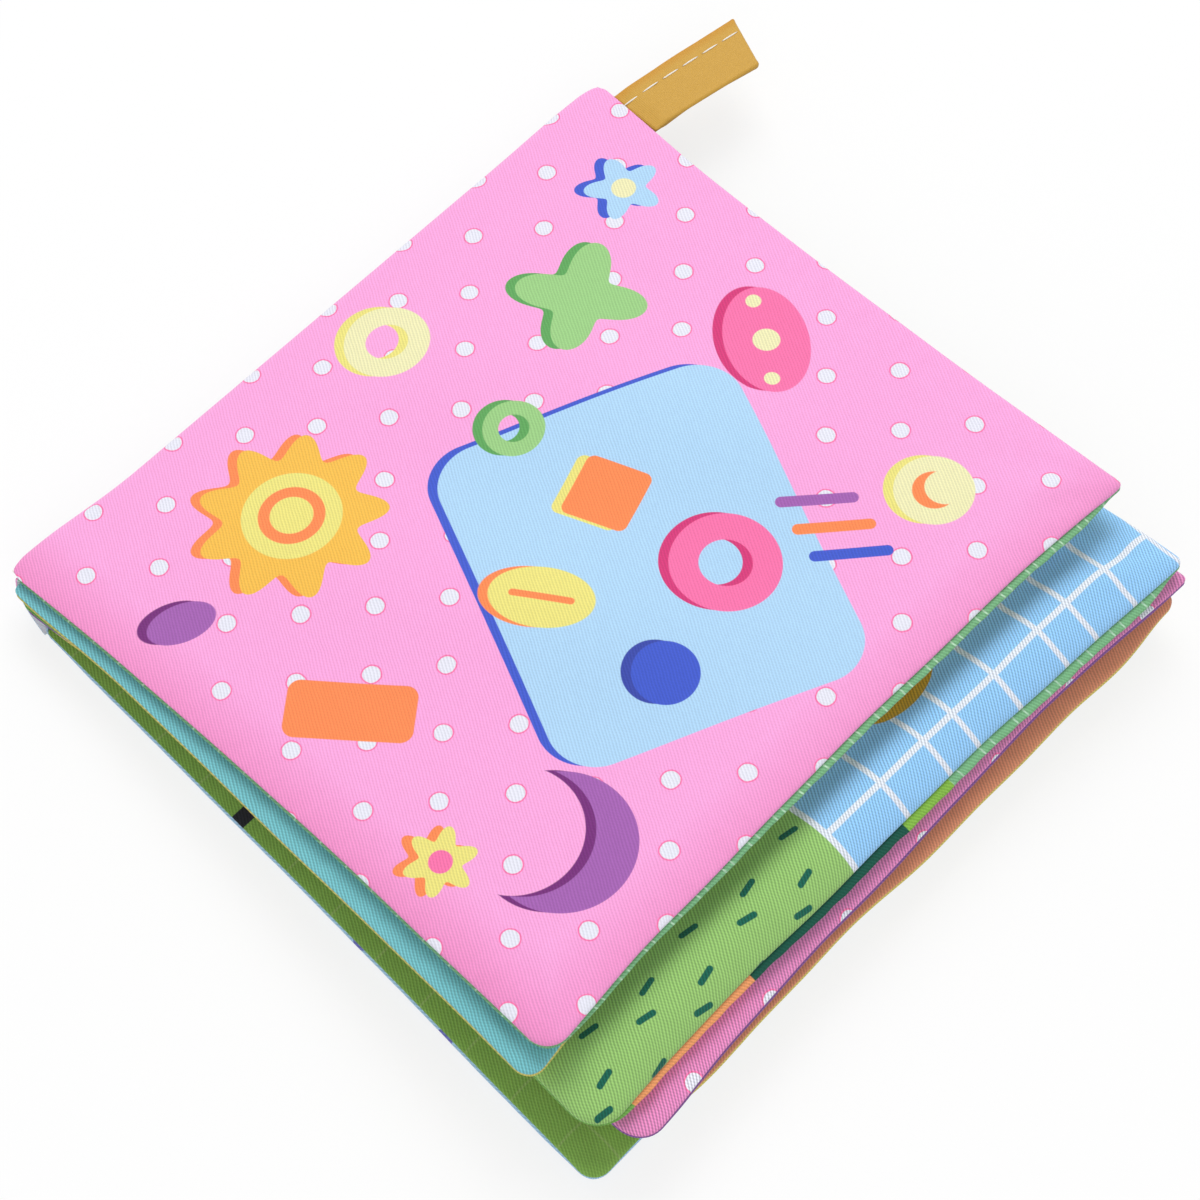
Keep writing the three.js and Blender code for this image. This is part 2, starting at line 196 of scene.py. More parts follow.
class BookSizes(bpy.types.PropertyGroup):
    """Sizes of the closed book, as its solids have them."""

    leaf_height: length("Leaf height", "From the tail to the head of a leaf", 150)
    leaf_width: length("Leaf width", "From the spine to the fore-edge of a square leaf", 150)
    pitch_at_spine: length("Pitch at spine", "Height that each leaf takes at the spine", 1.92)
    fan_angle: angle("Fan angle", "Angle between the two outer faces of the closed book", 7.1)
    air: length("Air", "Room between neighbouring leaves", 0.36)
    side_pull: length("Side pull", "How far the padding pulls a side in between its corners", 1.5)
    drawn_in: length("Drawn-in width", "Width of the band that slopes to the rim", 8)
    rim_half: length("Rim half thickness", "Half of the leaf's thickness at its rim", 0.6)
    crown_rise: length("Crown rise", "How much each leaf adds to the book's crown", 0.35)
    crown_margin: length("Crown margin", "Flat border round the crown", 8)


class ClothSizes(bpy.types.PropertyGroup):
    """Sizes of the cloths, the wadding and the film."""

    thickness: length("Cloth thickness", "Thickness of the printed cotton", 0.3)
    layer_room: length("Layer room", "Room that cloth and clearance take above the padding", 0.75)
    lip_depth: length("Lip depth", "How deep the rolled edge tucks into the seam", 1)
    lip_gap: length("Lip gap", "Half of the gap in the seam crease", 0.08)
    spine_roll: length("Spine roll", "Radius of the outer cloth's roll over the spine", 2.3)
    spine_lap: length("Spine lap", "How far the outer cloth laps down over the spine fold", 0.7)
    pucker: length("Pucker", "Depth of the puckers along the seams", 0.42)
    pucker_reach: length("Pucker reach", "How far a pucker runs from the seam", 10)
    puff_width: length("Puff width", "Width of the fore-edge strip that puffs up", 15)
    stray_reach: length("Stray reach", "How far from the rim a stray edge or corner dies out", 30)
    roll_taper: length("Roll taper", "Length over which a rolled rim starts from a corner", 13)
    head_roll: length("Head roll", "How far the lower cloths roll over the rim at the head", 0.3)
    crease_lift: length("Crease lift", "How far a rolled rim lifts the seam's crease", 0.4)
    settle: length("Settle", "How much the whole book waves from lying closed", 0.8)
    padding_inset: length("Padding inset", "From the rim to the wadding", 3)
    padding_slack: length("Padding slack", "Slack of the wadding at its edge", 1.5)
    padding_radius: length("Padding corner radius", "Radius of the wadding's and the film's corners", 5)
    padding_spine_margin: length("Padding spine margin", "From the leaf's spine edge to the wadding", 22)
    film_thickness: length("Film thickness", "Thickness of the crinkled film as it lies", 0.12)
    film_room: length("Film room", "Room that the film takes above the wadding", 0.55)
    film_edge_margin: length("Film edge margin", "From the rim to the film", 13)
    film_spine_margin: length("Film spine margin", "From the spine to the film", 52)
    film_ramp: length("Film ramp", "Width over which the wadding makes room for the film", 12)
    film_crinkle: length("Film crinkle", "Height of the film's creases", 0.08)


class SpineSizes(bpy.types.PropertyGroup):
    """Sizes of the spine fold, the seam and the tape loop."""

    seam_from_spine: length("Seam from spine", "Distance of the seam from the spine line", 2.6)
    thread_radius: length("Thread radius", "Radius of the seam thread", 0.85)
    thread_lay: length("Thread lay", "Length of one twist of the seam thread", 4.2)
    fold_bulge: length("Fold bulge", "How far the spine cloth bulges", 3.6)
    fold_clearance: length("Fold clearance", "From a leaf's rim to the spine cloth's middle", 0.525)
    fold_thickness: length("Fold thickness", "Thickness of the spine cloth", 0.4)
    fold_shortfall: length("Fold shortfall", "How much the fold is shorter at each end", -0.3)
    end_flare: length("End flare", "How far the fold flares at its two ends", 0.6)
    tape_width: length("Tape width", "Width of the loop's tape", 11.8)
    tape_thickness: length("Tape thickness", "Thickness of the loop's tape", 0.75)
    tape_pitch: length("Tape pitch", "From the middle of one leg of the loop to the other", 1.1)
    loop_length: length("Loop length", "From the head seam to the loop's tip", 27.6)
    eye_height: length("Eye height", "How far the loop's legs stand apart", 1.6)
    upper_leg: share("Upper leg share", "The upper leg's share of the eye's height", 0.12)
    loop_from_spine: length("Loop from spine", "From the spine line to the loop's middle", 10.2)
    loop_seat: length("Loop seat", "From the head seam's line to the loop", 0.05)
    squeeze_length: length("Squeeze length", "From the seam to where the tape is no longer squeezed", 4)
    drift: length("Drift", "How far the lower leg drifts to the spine", 1.6)
    tip_drift: length("Tip drift", "How far the lower leg has drifted at the tip", 0.7)
    slant: angle("Slant", "How far the loop leans to the fore-edge", 9)
    skew: share("Skew", "How much longer one edge of the loop is", 0.18)
    tip_radius: length("Tip radius", "Radius of the fold at the loop's tip", 0.7)
    stitch_inset: length("Stitch inset", "From the tape's edge to its stitches", 3.2)
    stitch: length("Stitch", "Length of a running stitch", 4.1)
    stitch_gap: length("Stitch gap", "Gap between running stitches", 0.4)
    stitch_radius: length("Stitch radius", "Radius of the stitching thread", 0.17)


class BookColours(bpy.types.PropertyGroup):
    """Colours of the printed cloths, the tape and the threads."""

    pink: colour("Pink", "Ground of the dotted cloths", 252, 168, 223)
    hot_pink: colour("Hot pink", "Outlines of the dots, and some motifs", 250, 116, 172)
    dot: colour("Dot", "Dots on the pink cloths", 232, 232, 245)
    mint: colour("Mint", "Inner face of the front cover", 122, 182, 132)
    teal: colour("Teal", "Upper face of the second leaf", 118, 192, 200)
    yellow: colour("Yellow", "Lower face of the second leaf", 222, 208, 114)
    sky: colour("Sky", "Checked half of the third leaf", 150, 204, 250)
    grass: colour("Grass", "Stroked half of the third leaf", 150, 196, 112)
    stroke: colour("Stroke", "Strokes on the grass", 12, 96, 78)
    pale: colour("Pale line", "Check lines", 226, 232, 244)
    purple: colour("Purple", "Lower face of the fourth leaf", 140, 93, 161)
    salmon: colour("Salmon", "Upper face of the fifth leaf", 226, 152, 116)
    peach: colour("Peach", "Tail end of the third leaf's lower face", 240, 160, 104)
    olive: colour("Olive", "Inner face of the back cover", 134, 180, 84)
    light_blue: colour("Light blue", "Outer face of the back cover", 176, 214, 246)
    deep_blue: colour("Deep blue", "Shaded sides of blue motifs", 66, 92, 206)
    orange: colour("Orange", "Orange motifs", 255, 140, 84)
    cream: colour("Cream", "Pale motifs", 238, 234, 184)
    ink: colour("Ink", "Dark marks", 34, 36, 44)
    tape: colour("Tape", "The loop's tape", 196, 151, 60)
    thread: colour("Thread", "Sewing thread", 240, 236, 226)
    wadding: colour("Wadding", "Wadding inside the leaves", 246, 244, 238)
    film: colour("Film", "Crinkle film inside the leaves", 232, 236, 240)


class StageLook(bpy.types.PropertyGroup):
    """Camera, lamps and floor."""

    azimuth: angle("Azimuth", "Direction that the camera looks in, seen from above", 42.73)
    elevation: angle("Elevation", "Height of the camera above the horizon", 65.08)
    roll: angle("Roll", "Turn of the camera about its own line of sight", 2.18)
    camera_place: FloatVectorProperty(
        name="Camera place", description="Where the camera stands",
        default=(0.1799, -0.1986, 0.5888), size=3, subtype="TRANSLATION", unit="LENGTH",
    )
    lens: FloatProperty(
        name="Lens", description="Focal length on a full-frame sensor", default=105, unit="CAMERA",
    )
    key_power: FloatProperty(name="Key", description="Power of the main lamp", default=19, unit="POWER")
    fill_power: FloatProperty(name="Fill", description="Power of the fill lamp", default=2.6, unit="POWER")
    world_level: FloatProperty(name="World", description="Level of the light all round", default=0.53)
    floor_lift: share("Floor lift", "How much the camera sees the floor as plain white", 0.78)
    floor_gap: length("Floor gap", "How far the floor lies under the book", 0.2)


class LeafShape:
    """Where the layers of one leaf lie. A leaf's own frame has u from the spine and v from the middle."""

    def __init__(self, scene, form):
        self.sizes = scene.book_sizes
        self.cloth = scene.cloth_sizes
        self.form = form
        self.corners = LEAF_CORNERS[form.name]
        self.position = LEAF_FORMS.index(form)
        sizes = self.sizes
        self.low = form.start * sizes.pitch_at_spine * len(LEAF_FORMS)
        self.high = form.reach * sizes.leaf_width
        self.half = sizes.leaf_height / 2
        self.wedge = sizes.fan_angle / len(LEAF_FORMS)
        self.tilt = self.wedge * (self.position + 0.5)
        self.rise = sizes.pitch_at_spine * (self.position + 0.5) - sizes.air / 2
        self.crown_end = min(f.reach for f in LEAF_FORMS) * sizes.leaf_width - sizes.crown_margin

    def corner_radius(self, u, v):
        at_fore = np.where(v < 0, self.corners.fore_tail.radius, self.corners.fore_head.radius)
        at_spine = np.where(v < 0, self.corners.spine_tail.radius, self.corners.spine_head.radius)
        return np.where(u > (self.low + self.high) / 2, at_fore, at_spine) * MM

    def round_corners(self, u, v, low, high, half, radius):
        """Moves the points of a square grid so that its corners become round."""
        middle = (low + high) / 2
        over_u = np.maximum(0, abs(u - middle) - ((high - low) / 2 - radius))
        over_v = np.maximum(0, abs(v) - (half - radius))
        round_u = over_u * np.sqrt(1 - (over_v / radius) ** 2 / 2)
        round_v = over_v * np.sqrt(1 - (over_u / radius) ** 2 / 2)
        return u + np.sign(u - middle) * (round_u - over_u), v + np.sign(v) * (round_v - over_v)

    def distance_to_rim(self, u, v, over_spine=False):
        ends = self.high - u if over_spine else np.minimum(u - self.low, self.high - u)
        sides = self.half - abs(v)
        radius = self.corner_radius(u, v)
        at_corner = (ends < radius) & (sides < radius)
        rounded = radius - np.hypot(radius - ends, radius - sides)
        return np.where(at_corner, rounded, np.minimum(ends, sides))

    def full_half(self, x):
        sizes = self.sizes
        return (sizes.pitch_at_spine + 2 * x * math.tan(self.wedge / 2) - sizes.air) / 2

    def rim_height(self, x):
        return self.form.rim_rise * (self.full_half(x) - self.sizes.rim_half)

    def off_square(self, u, v):
        along = (u - self.low) / (self.high - self.low)
        across = v / self.half
        pull_u = self.sizes.side_pull * along ** 2 * (1 - across ** 2)
        pull_v = self.sizes.side_pull * across * (1 - (2 * along - 1) ** 2)
        return u + self.form.lean * v * along - pull_u, v + self.form.slant * (u - self.low) - pull_v

    def crown(self, x, y):
        """The rise that this leaf adds to the closed book, with the waves that the book settles into."""
        sizes = self.sizes
        half = self.half - sizes.crown_margin
        margin = sizes.crown_margin
        book_y = y + self.form.shift * sizes.leaf_height
        share_x = (2 * x - margin - self.crown_end) / (self.crown_end - margin)
        share_y = book_y / half
        dome = np.maximum(0, 1 - share_x ** 2) * np.maximum(0, 1 - share_y ** 2)
        waves = wave(x + 0.35 * book_y, 71 * MM, 0.4) + wave(book_y - 0.5 * x, 53 * MM, 1.9)
        return dome * (sizes.crown_rise + self.cloth.settle / len(LEAF_FORMS) * waves)

    def face_height(self, u, v, side, slack=0.0, over_spine=False):
        """Height of an outer face, which swells like a round cushion edge from the rim seam."""
        from_rim = self.distance_to_rim(u, v, over_spine) - slack
        turn = 1 - np.clip(from_rim / self.sizes.drawn_in, 0, 1)
        swell = np.sqrt(1 - turn ** 2)
        x, y = self.off_square(u, v)
        rim = self.rim_height(x) + side * self.sizes.rim_half
        crowns = self.position + (side + 1) / 2
        height = rim + (side * self.full_half(x) - rim) * swell + crowns * self.crown(x, y)
        return height + (self.puff(u, v) if side == UPPER else 0)

    def puff(self, u, v):
        """The swelling of a fore-edge strip that no leaf above presses down."""
        width = self.cloth.puff_width
        from_side = 1 - fade((self.half - abs(v)) / width)
        across = np.clip((self.high - u) / width, 0, 1)
        return self.form.puff * MM * np.sin(math.pi * across) * from_side

    def puckers(self, u, v, side):
        """Small folds that run in from the three sewn sides, always towards the padding."""
        reach = self.cloth.pucker_reach
        depth = np.zeros_like(u)
        for number, (distance, along) in enumerate(
            ((self.high - u, v), (self.half - v, u), (self.half + v, u))
        ):
            phase = 1.3 * self.position + 2.1 * number + side
            fold = 0.5 + 0.5 * ragged(along, phase)
            envelope = np.clip(distance / reach, 0, 1)
            envelope = PUCKER_PEAK * envelope * (1 - envelope) ** 2
            depth = np.maximum(depth, fold * envelope)
        inside = np.clip(self.distance_to_rim(u, v) / (0.4 * reach), 0, 1)
        for corner_u in (self.low, self.high):
            for corner_v in (-self.half, self.half):
                away_u, away_v = u - corner_u, v - corner_v
                far = np.hypot(away_u, away_v) / (RAY_REACH * reach)
                direction = np.arctan2(away_v, away_u)
                rays = 0.5 + 0.5 * np.sin(CORNER_RAYS * direction + self.position + 20 * corner_v)
                depth = np.maximum(depth, RAY_DEPTH * inside * rays * far * np.exp(1 - far ** 2))
        room = np.clip((self.full_half(u) - NO_PUCKER_BELOW) / PUCKER_ROOM, 0, 1)
        return self.cloth.pucker * depth * room

    def in_book(self, points):
        """Points of the leaf's own frame, in the frame that the book is packed in."""
        sizes = self.sizes
        base = LEAF_FORMS[0]
        stack = sizes.pitch_at_spine * len(LEAF_FORMS)
        middle = (base.start * stack + base.reach * sizes.leaf_width) / 2
        x, y, z = np.moveaxis(points, -1, 0)
        cos, sin = math.cos(self.tilt), math.sin(self.tilt)
        return stacked(
            x * cos - z * sin - middle,
            y + (self.form.shift - base.shift) * sizes.leaf_height,
            x * sin + z * cos + self.rise,
        )


def stacked(*parts):
    """Arrays spread to one shape and joined along a new last axis, as the coordinates of points."""
    return np.stack(np.broadcast_arrays(*parts), axis=-1)


def lengths_along(points):
    """The length of a line of points up to each of them."""
    steps = np.linalg.norm(np.diff(points, axis=0), axis=1)
    return np.concatenate(([0], np.cumsum(steps)))


def wave(along, period, phase):
    return np.sin(2 * math.pi * along / period + phase)


def ragged(along, phase):
    """An uneven wave between -1 and 1, as puckers follow each other along a seam."""
    return (
        0.45 * wave(along, 5.3 * MM, 3 * phase)
        + 0.33 * wave(along, 8.1 * MM, 5 * phase)
        + 0.22 * wave(along, 13.7 * MM, 7 * phase)
    )


def grid_faces(columns, rows, flip=False):
    index = np.arange(columns * rows).reshape(columns, rows)
    corners = (index[:-1, :-1], index[1:, :-1], index[1:, 1:], index[:-1, 1:])
    faces = np.stack(corners, axis=-1).reshape(-1, 4)
    return faces[:, ::-1] if flip else faces


def grid_border(columns, rows):
    """Indices round the border of a grid, anticlockwise from above."""
    index = np.arange(columns * rows).reshape(columns, rows)
    return np.concatenate((index[:, 0], index[-1, 1:], index[-2::-1, -1], index[0, -2:0:-1]))


def band_faces(ring, next_ring, flip=False):
    """Faces between two closed rings of indices, on the outer side of an anticlockwise ring."""
    faces = stacked(next_ring, np.roll(next_ring, -1), np.roll(ring, -1), ring)
    return faces[:, ::-1] if flip else faces


def vertex_normals(points, faces):
    corners = points[faces]
    face_normals = np.cross(corners[:, 2] - corners[:, 0], corners[:, 3] - corners[:, 1])
    normals = np.zeros_like(points)
    for corner in range(faces.shape[1]):
        np.add.at(normals, faces[:, corner], face_normals)
    return normals / np.maximum(np.linalg.norm(normals, axis=1), 1e-12)[:, None]


def arc_map(grid):
    """Lengths along the cloth from the middle of a grid of points, both ways."""
    maps = []
    for axis in (0, 1):
        steps = np.linalg.norm(np.diff(grid, axis=axis), axis=-1)
        start = np.zeros_like(np.take(steps, [0], axis=axis))
        total = np.concatenate((start, np.cumsum(steps, axis=axis)), axis=axis)
        middle = total.shape[axis] // 2
        maps.append(total - np.take(total, [middle], axis=axis))
    return maps


def make_object(name, points, faces, uv=None):
    mesh = bpy.data.meshes.new(name)
    mesh.from_pydata(points.tolist(), [], [face.tolist() for face in faces])
    if uv is not None:
        layer = mesh.uv_layers.new(name=CLOTH_UV)
        corner_vertices = np.zeros(len(mesh.loops), np.int32)
        mesh.loops.foreach_get("vertex_index", corner_vertices)
        layer.data.foreach_set("uv", uv[corner_vertices].astype(np.float32).ravel())
    mesh.shade_smooth()
    mesh.update()
    return link_object(name, mesh)


def link_object(name, data):
    made = bpy.data.objects.new(name, data)
    bpy.context.scene.collection.objects.link(made)
    return made


def shell(points, faces, thickness, border, uv):
    """A closed shell: the outer skin, the same skin moved inwards, and a wall round its border."""
    count = len(points)
    inner = points - thickness * vertex_normals(points, faces)
    wall = stacked(border, border + count, np.roll(border, -1) + count, np.roll(border, -1))
    if not edge_in_faces(faces, border):
        wall = wall[:, ::-1]
    all_faces = np.concatenate((faces, faces[:, ::-1] + count, wall))
    return np.concatenate((points, inner)), all_faces, np.concatenate((uv, uv))


def edge_in_faces(faces, border):
    """Whether a face runs along the border in the border's own direction."""
    first, second = border[0], border[1]
    touching = faces[(faces == first).any(axis=1) & (faces == second).any(axis=1)][0].tolist()
    return touching[(touching.index(first) + 1) % len(touching)] == second


def closed_between(upper, lower):
    """A closed solid between two grids of points."""
    columns, rows = upper.shape[:2]
    count = columns * rows
    border = grid_border(columns, rows)
    points = np.concatenate((upper.reshape(-1, 3), lower.reshape(-1, 3)))
    faces = np.concatenate(
        (
            grid_faces(columns, rows),
            grid_faces(columns, rows, flip=True) + count,
            band_faces(border, border + count),
        )
    )
    return points, faces


def seam_lines(low, high, band):
    """Grid lines that stand close together towards both rims."""
    near = band * (1 - np.cos(np.linspace(0, QUARTER_TURN, BAND_STEPS + 1)))
    middle = np.linspace(low + band, high - band, MIDDLE_STEPS + 1)[1:-1]
    return np.concatenate((low + near, middle, (high - near)[::-1]))


def wraps_spine(form, side):
    """The two outer cloths roll over onto the spine fold, and the others are seamed at the spine."""
    return (form, side) in ((LEAF_FORMS[-1], UPPER), (LEAF_FORMS[0], LOWER))


def cloth_points(shape, side):
    """Outer skin of one cloth, its faces, its border and its UV map."""
    form, cloth = shape.form, shape.cloth
    over_spine = wraps_spine(form, side)
    lines_u = seam_lines(shape.low, shape.high, shape.sizes.drawn_in)
    lines_v = seam_lines(-shape.half, shape.half, shape.sizes.drawn_in)
    u, v = np.meshgrid(lines_u, lines_v, indexing="ij")
    u, v = shape.round_corners(u, v, shape.low, shape.high, shape.half, shape.corner_radius(u, v))
    x, y = shape.off_square(u, v)
    z = shape.face_height(u, v, side, over_spine=over_spine) - side * shape.puckers(u, v, side)
    shift_x, shift_y = rim_shift(shape, u, v)
    grid = stacked(x + shift_x, y + shift_y, z)
    columns, rows = u.shape
    map_u, map_v = arc_map(grid)
    uv = stacked(map_u + u[columns // 2, 0], map_v).reshape(-1, 2)
    points = grid.reshape(-1, 3)
    border = grid_border(columns, rows)
    faces = [grid_faces(columns, rows, flip=side == LOWER)]
    place = u.reshape(-1)[border], v.reshape(-1)[border]
    rings, ring_uvs = lip_rings(shape, side, points[border], uv[border], place, over_spine)
    ring = border
    count = len(points)
    for _ in range(LIP_STEPS):
        next_ring = np.arange(count, count + len(border))
        faces.append(band_faces(ring, next_ring, flip=side == LOWER))
        ring = next_ring
        count += len(border)
    return np.concatenate([points] + rings), np.concatenate(faces), ring, np.concatenate([uv] + ring_uvs)


def rim_shift(shape, u, v):
    """How the cloth strays sideways: a wavy fore-edge that draws back, and corners that are pulled."""
    form, reach = shape.form, shape.cloth.stray_reach
    near_fore = fade((shape.high - u) / reach)
    near_side = fade((shape.half - abs(v)) / reach)
    phase = 0.9 * shape.position
    wave_v = 0.7 * wave(v, 63 * MM, phase) + 0.3 * wave(v, 29 * MM, 2 * phase)
    wave_u = 0.7 * wave(u, 71 * MM, 3 * phase) + 0.3 * wave(u, 33 * MM, phase)
    from_tail = (v + shape.half) / reach
    shift_u = near_fore * MM * (form.wave * wave_v - form.fore_in * (1 - fade(from_tail)))
    along = (u - shape.low) / (shape.high - shape.low)
    near_tail = fade((v + shape.half) / reach) * (1 - (2 * along - 1) ** 2)
    shift_v = 0.4 * near_side * MM * form.wave * wave_u + near_tail * MM * form.tail_in
    corners = shape.corners
    for corner_u, corner_v, corner in (
        (shape.high, shape.half, corners.fore_head),
        (shape.high, -shape.half, corners.fore_tail),
        (shape.low, shape.half, corners.spine_head),
        (shape.low, -shape.half, corners.spine_tail),
    ):
        near = fade(np.hypot(u - corner_u, v - corner_v) / reach)
        shift_u = shift_u + corner.to_fore * MM * near
        shift_v = shift_v + corner.to_head * MM * near
    return shift_u, shift_v


def fade(far):
    """1 at 0, falling smoothly to 0 at 1."""
    left = 1 - np.clip(far, 0, 1)
    return left ** 2 * (3 - 2 * left)


def roll_over_rim(shape, outward, border_u, border_v):
    """How far the lower cloth rolls out round the rim, which tapers off towards the corners."""
    form, taper = shape.form, shape.cloth.roll_taper
    to_fore, to_head = outward[:, 0], outward[:, 1]
    from_tail = 1 - form.roll_loss * fade((border_v + shape.half) / (7 * taper))
    fore_room = 1 - fade((shape.half - abs(border_v)) / taper)
    side_room = 1 - fade(np.minimum(border_u - shape.low, shape.high - border_u) / taper)
    at_fore = np.clip(to_fore, 0, 1) ** 2 * form.fore_roll * MM * fore_room * from_tail
    at_tail = np.clip(-to_head, 0, 1) ** 2 * form.tail_roll * MM * side_room
    at_head = np.clip(to_head, 0, 1) ** 2 * shape.cloth.head_roll * side_room
    return at_fore + at_tail + at_head


def lip_rings(shape, side, border_points, border_uv, border_place, over_spine):
    """Rings that roll the cloth's edge into the seam, or over the spine where the cloth wraps it."""
    cloth, sizes = shape.cloth, shape.sizes
    tangent = np.roll(border_points, -1, axis=0) - np.roll(border_points, 1, axis=0)
    outward = stacked(tangent[:, 1], -tangent[:, 0])
    outward /= np.linalg.norm(outward, axis=1)[:, None]
    at_spine = np.clip((-outward[:, 0] - 0.3) / 0.6, 0, 1) if over_spine else np.zeros(len(outward))
    crease = ragged(border_points[:, 0] + border_points[:, 1], shape.position + side)
    roll = roll_over_rim(shape, outward, *border_place) * (1 + 0.08 * crease)
    lift = cloth.crease_lift * np.clip(roll / MM, 0, 1)
    from_end = (shape.half - abs(border_place[1])) / cloth.roll_taper
    spine_roll = cloth.spine_roll * (1 - 0.3 * fade(from_end) - 0.5 * fade(3 * from_end))
    rings, ring_uvs = [], []
    last, travelled = border_points, np.zeros(len(border_points))
    for step in range(1, LIP_STEPS + 1):
        turn = QUARTER_TURN * step / LIP_STEPS
        if side == UPPER:
            tuck_out = -cloth.lip_depth * (1 - math.cos(turn))
            tuck_drop = (sizes.rim_half - cloth.lip_gap - lift) * math.sin(turn)
        else:
            tuck_out = roll * math.sin(2 * turn) - cloth.lip_depth * (1 - math.cos(turn))
            tuck_drop = (sizes.rim_half - cloth.lip_gap + lift) * (1 - math.cos(2 * turn)) / 2
        roll_turn = min(QUARTER_TURN, turn * ROLL_LEAD)
        lap = max(0, (turn * ROLL_LEAD - QUARTER_TURN) / ((ROLL_LEAD - 1) * QUARTER_TURN))
        roll_out = spine_roll * math.sin(roll_turn)
        roll_drop = spine_roll * (1 - math.cos(roll_turn)) + lap * cloth.spine_lap
        out = tuck_out + at_spine * (roll_out - tuck_out)
        drop = tuck_drop + at_spine * (roll_drop - tuck_drop)
        ring = border_points.copy()
        ring[:, :2] += outward * out[:, None]
        ring[:, 2] -= side * drop
        travelled = travelled + np.linalg.norm(ring - last, axis=1)
        rings.append(ring)
        ring_uvs.append(border_uv + outward * travelled[:, None])
        last = ring
    return rings, ring_uvs


class Nodes:
    """Adds nodes to one tree and takes sockets or plain values as their inputs."""

    def __init__(self, tree, owner=None):
        self.tree = tree
        self.owner = owner
        tree.nodes.clear()

    @classmethod
    def of(cls, owner):
        """The nodes of a material or a world."""
        owner.use_nodes = True
        return cls(owner.node_tree, owner)

    def add(self, kind, inputs=None, **settings):
        node = self.tree.nodes.new(kind)
        for key, value in settings.items():
            setattr(node, key, value)
        for key, value in (inputs or {}).items():
            if isinstance(value, bpy.types.NodeSocket):
                self.tree.links.new(value, node.inputs[key])
            else:
                node.inputs[key].default_value = value
        return node

    def math(self, operation, *values, clamp=False):
        return self.add(
            "ShaderNodeMath", dict(enumerate(values)), operation=operation, use_clamp=clamp
        ).outputs[0]

    def minus(self, value, other):
        return self.math("SUBTRACT", value, other)

    def vector(self, operation, *values):
        node = self.add("ShaderNodeVectorMath", dict(enumerate(values)), operation=operation)
        return node.outputs["Value" if operation in ("DISTANCE", "LENGTH", "DOT_PRODUCT") else "Vector"]

    def scaled(self, vector, factor):
        node = self.add("ShaderNodeVectorMath", {0: vector, "Scale": factor}, operation="SCALE")
        return node.outputs["Vector"]

    def parts(self, vector):
        return self.add("ShaderNodeSeparateXYZ", {0: vector}).outputs

    def joined(self, x, y):
        return self.add("ShaderNodeCombineXYZ", {0: x, 1: y}).outputs[0]

    def mix(self, amount, below, above, blend="MIX"):
        inputs = {0: amount, 6: opaque(below), 7: opaque(above)}
        return self.add("ShaderNodeMix", inputs, data_type="RGBA", blend_type=blend).outputs[2]

    def noise(self, vector, scale, detail=2.0, roughness=0.5):
        inputs = {"Vector": vector, "Scale": scale, "Detail": detail, "Roughness": roughness}
        return self.add("ShaderNodeTexNoise", inputs).outputs[0]

    def placed(self, point, centre, turn=0.0, stretch=(1, 1)):
        """The point as a motif sees it from its own centre, turn and stretch."""
        return self.add(
            "ShaderNodeMapping",
            {
                "Vector": point,
                "Location": (centre[0], centre[1], 0),
                "Rotation": (0, 0, math.radians(turn)),
                "Scale": (stretch[0], stretch[1], 1),
            },
            vector_type="TEXTURE",
        ).outputs[0]

    def covered(self, distance, softness=0.16):
        """1 inside an outline and 0 outside it, with the soft edge of a cloth print."""
        return self.math("MULTIPLY_ADD", distance, -1 / softness, 0.5, clamp=True)

    def print_over(self, below, distance, ink):
        return self.mix(self.covered(distance), below, ink)

    def surface(self, colour_in, height, depth, roughness=0.85, sheen=0.25, **more):
        """Ends the material in one shader with a bump of the given depth."""
        bump = self.add("ShaderNodeBump", {"Strength": 1.0, "Distance": depth, "Height": height})
        shader = self.add(
            "ShaderNodeBsdfPrincipled",
            {
                "Base Color": opaque(colour_in),
                "Roughness": roughness,
                "Sheen Weight": sheen,
                "Sheen Roughness": 0.5,
                "Specular IOR Level": 0.25,
                "Normal": bump.outputs[0],
                **more,
            },
        )
        self.add("ShaderNodeOutputMaterial", {0: shader.outputs[0]})
        return self.owner


def material_nodes(name):
    return Nodes.of(bpy.data.materials.new(name))


def opaque(value):
    """A colour with its alpha, or the socket that it comes from."""
    return value if isinstance(value, bpy.types.NodeSocket) else (*tuple(value)[:3], 1)


# Prints, drawn in millimetres and degrees on the cloth's own map
Motif = namedtuple("Motif", "kind centre size turn face shade")

# The dots of the pink cloths, and where one of them lies on the front cover
DOT_PITCH = (9.06, 10.15)
DOT_RADIUS = 1.68
DOT_OUTLINE_RADIUS = 1.96
COVER_DOTS = (-0.39, 4.04)

# How the print lies askew on the front cover: its two directions, and how far it is off
COVER_ACROSS = (1.005, -0.005, 0)
COVER_ALONG = (-0.0125, 1.014, 0)
COVER_OFFSET = (-0.15, 0.55)


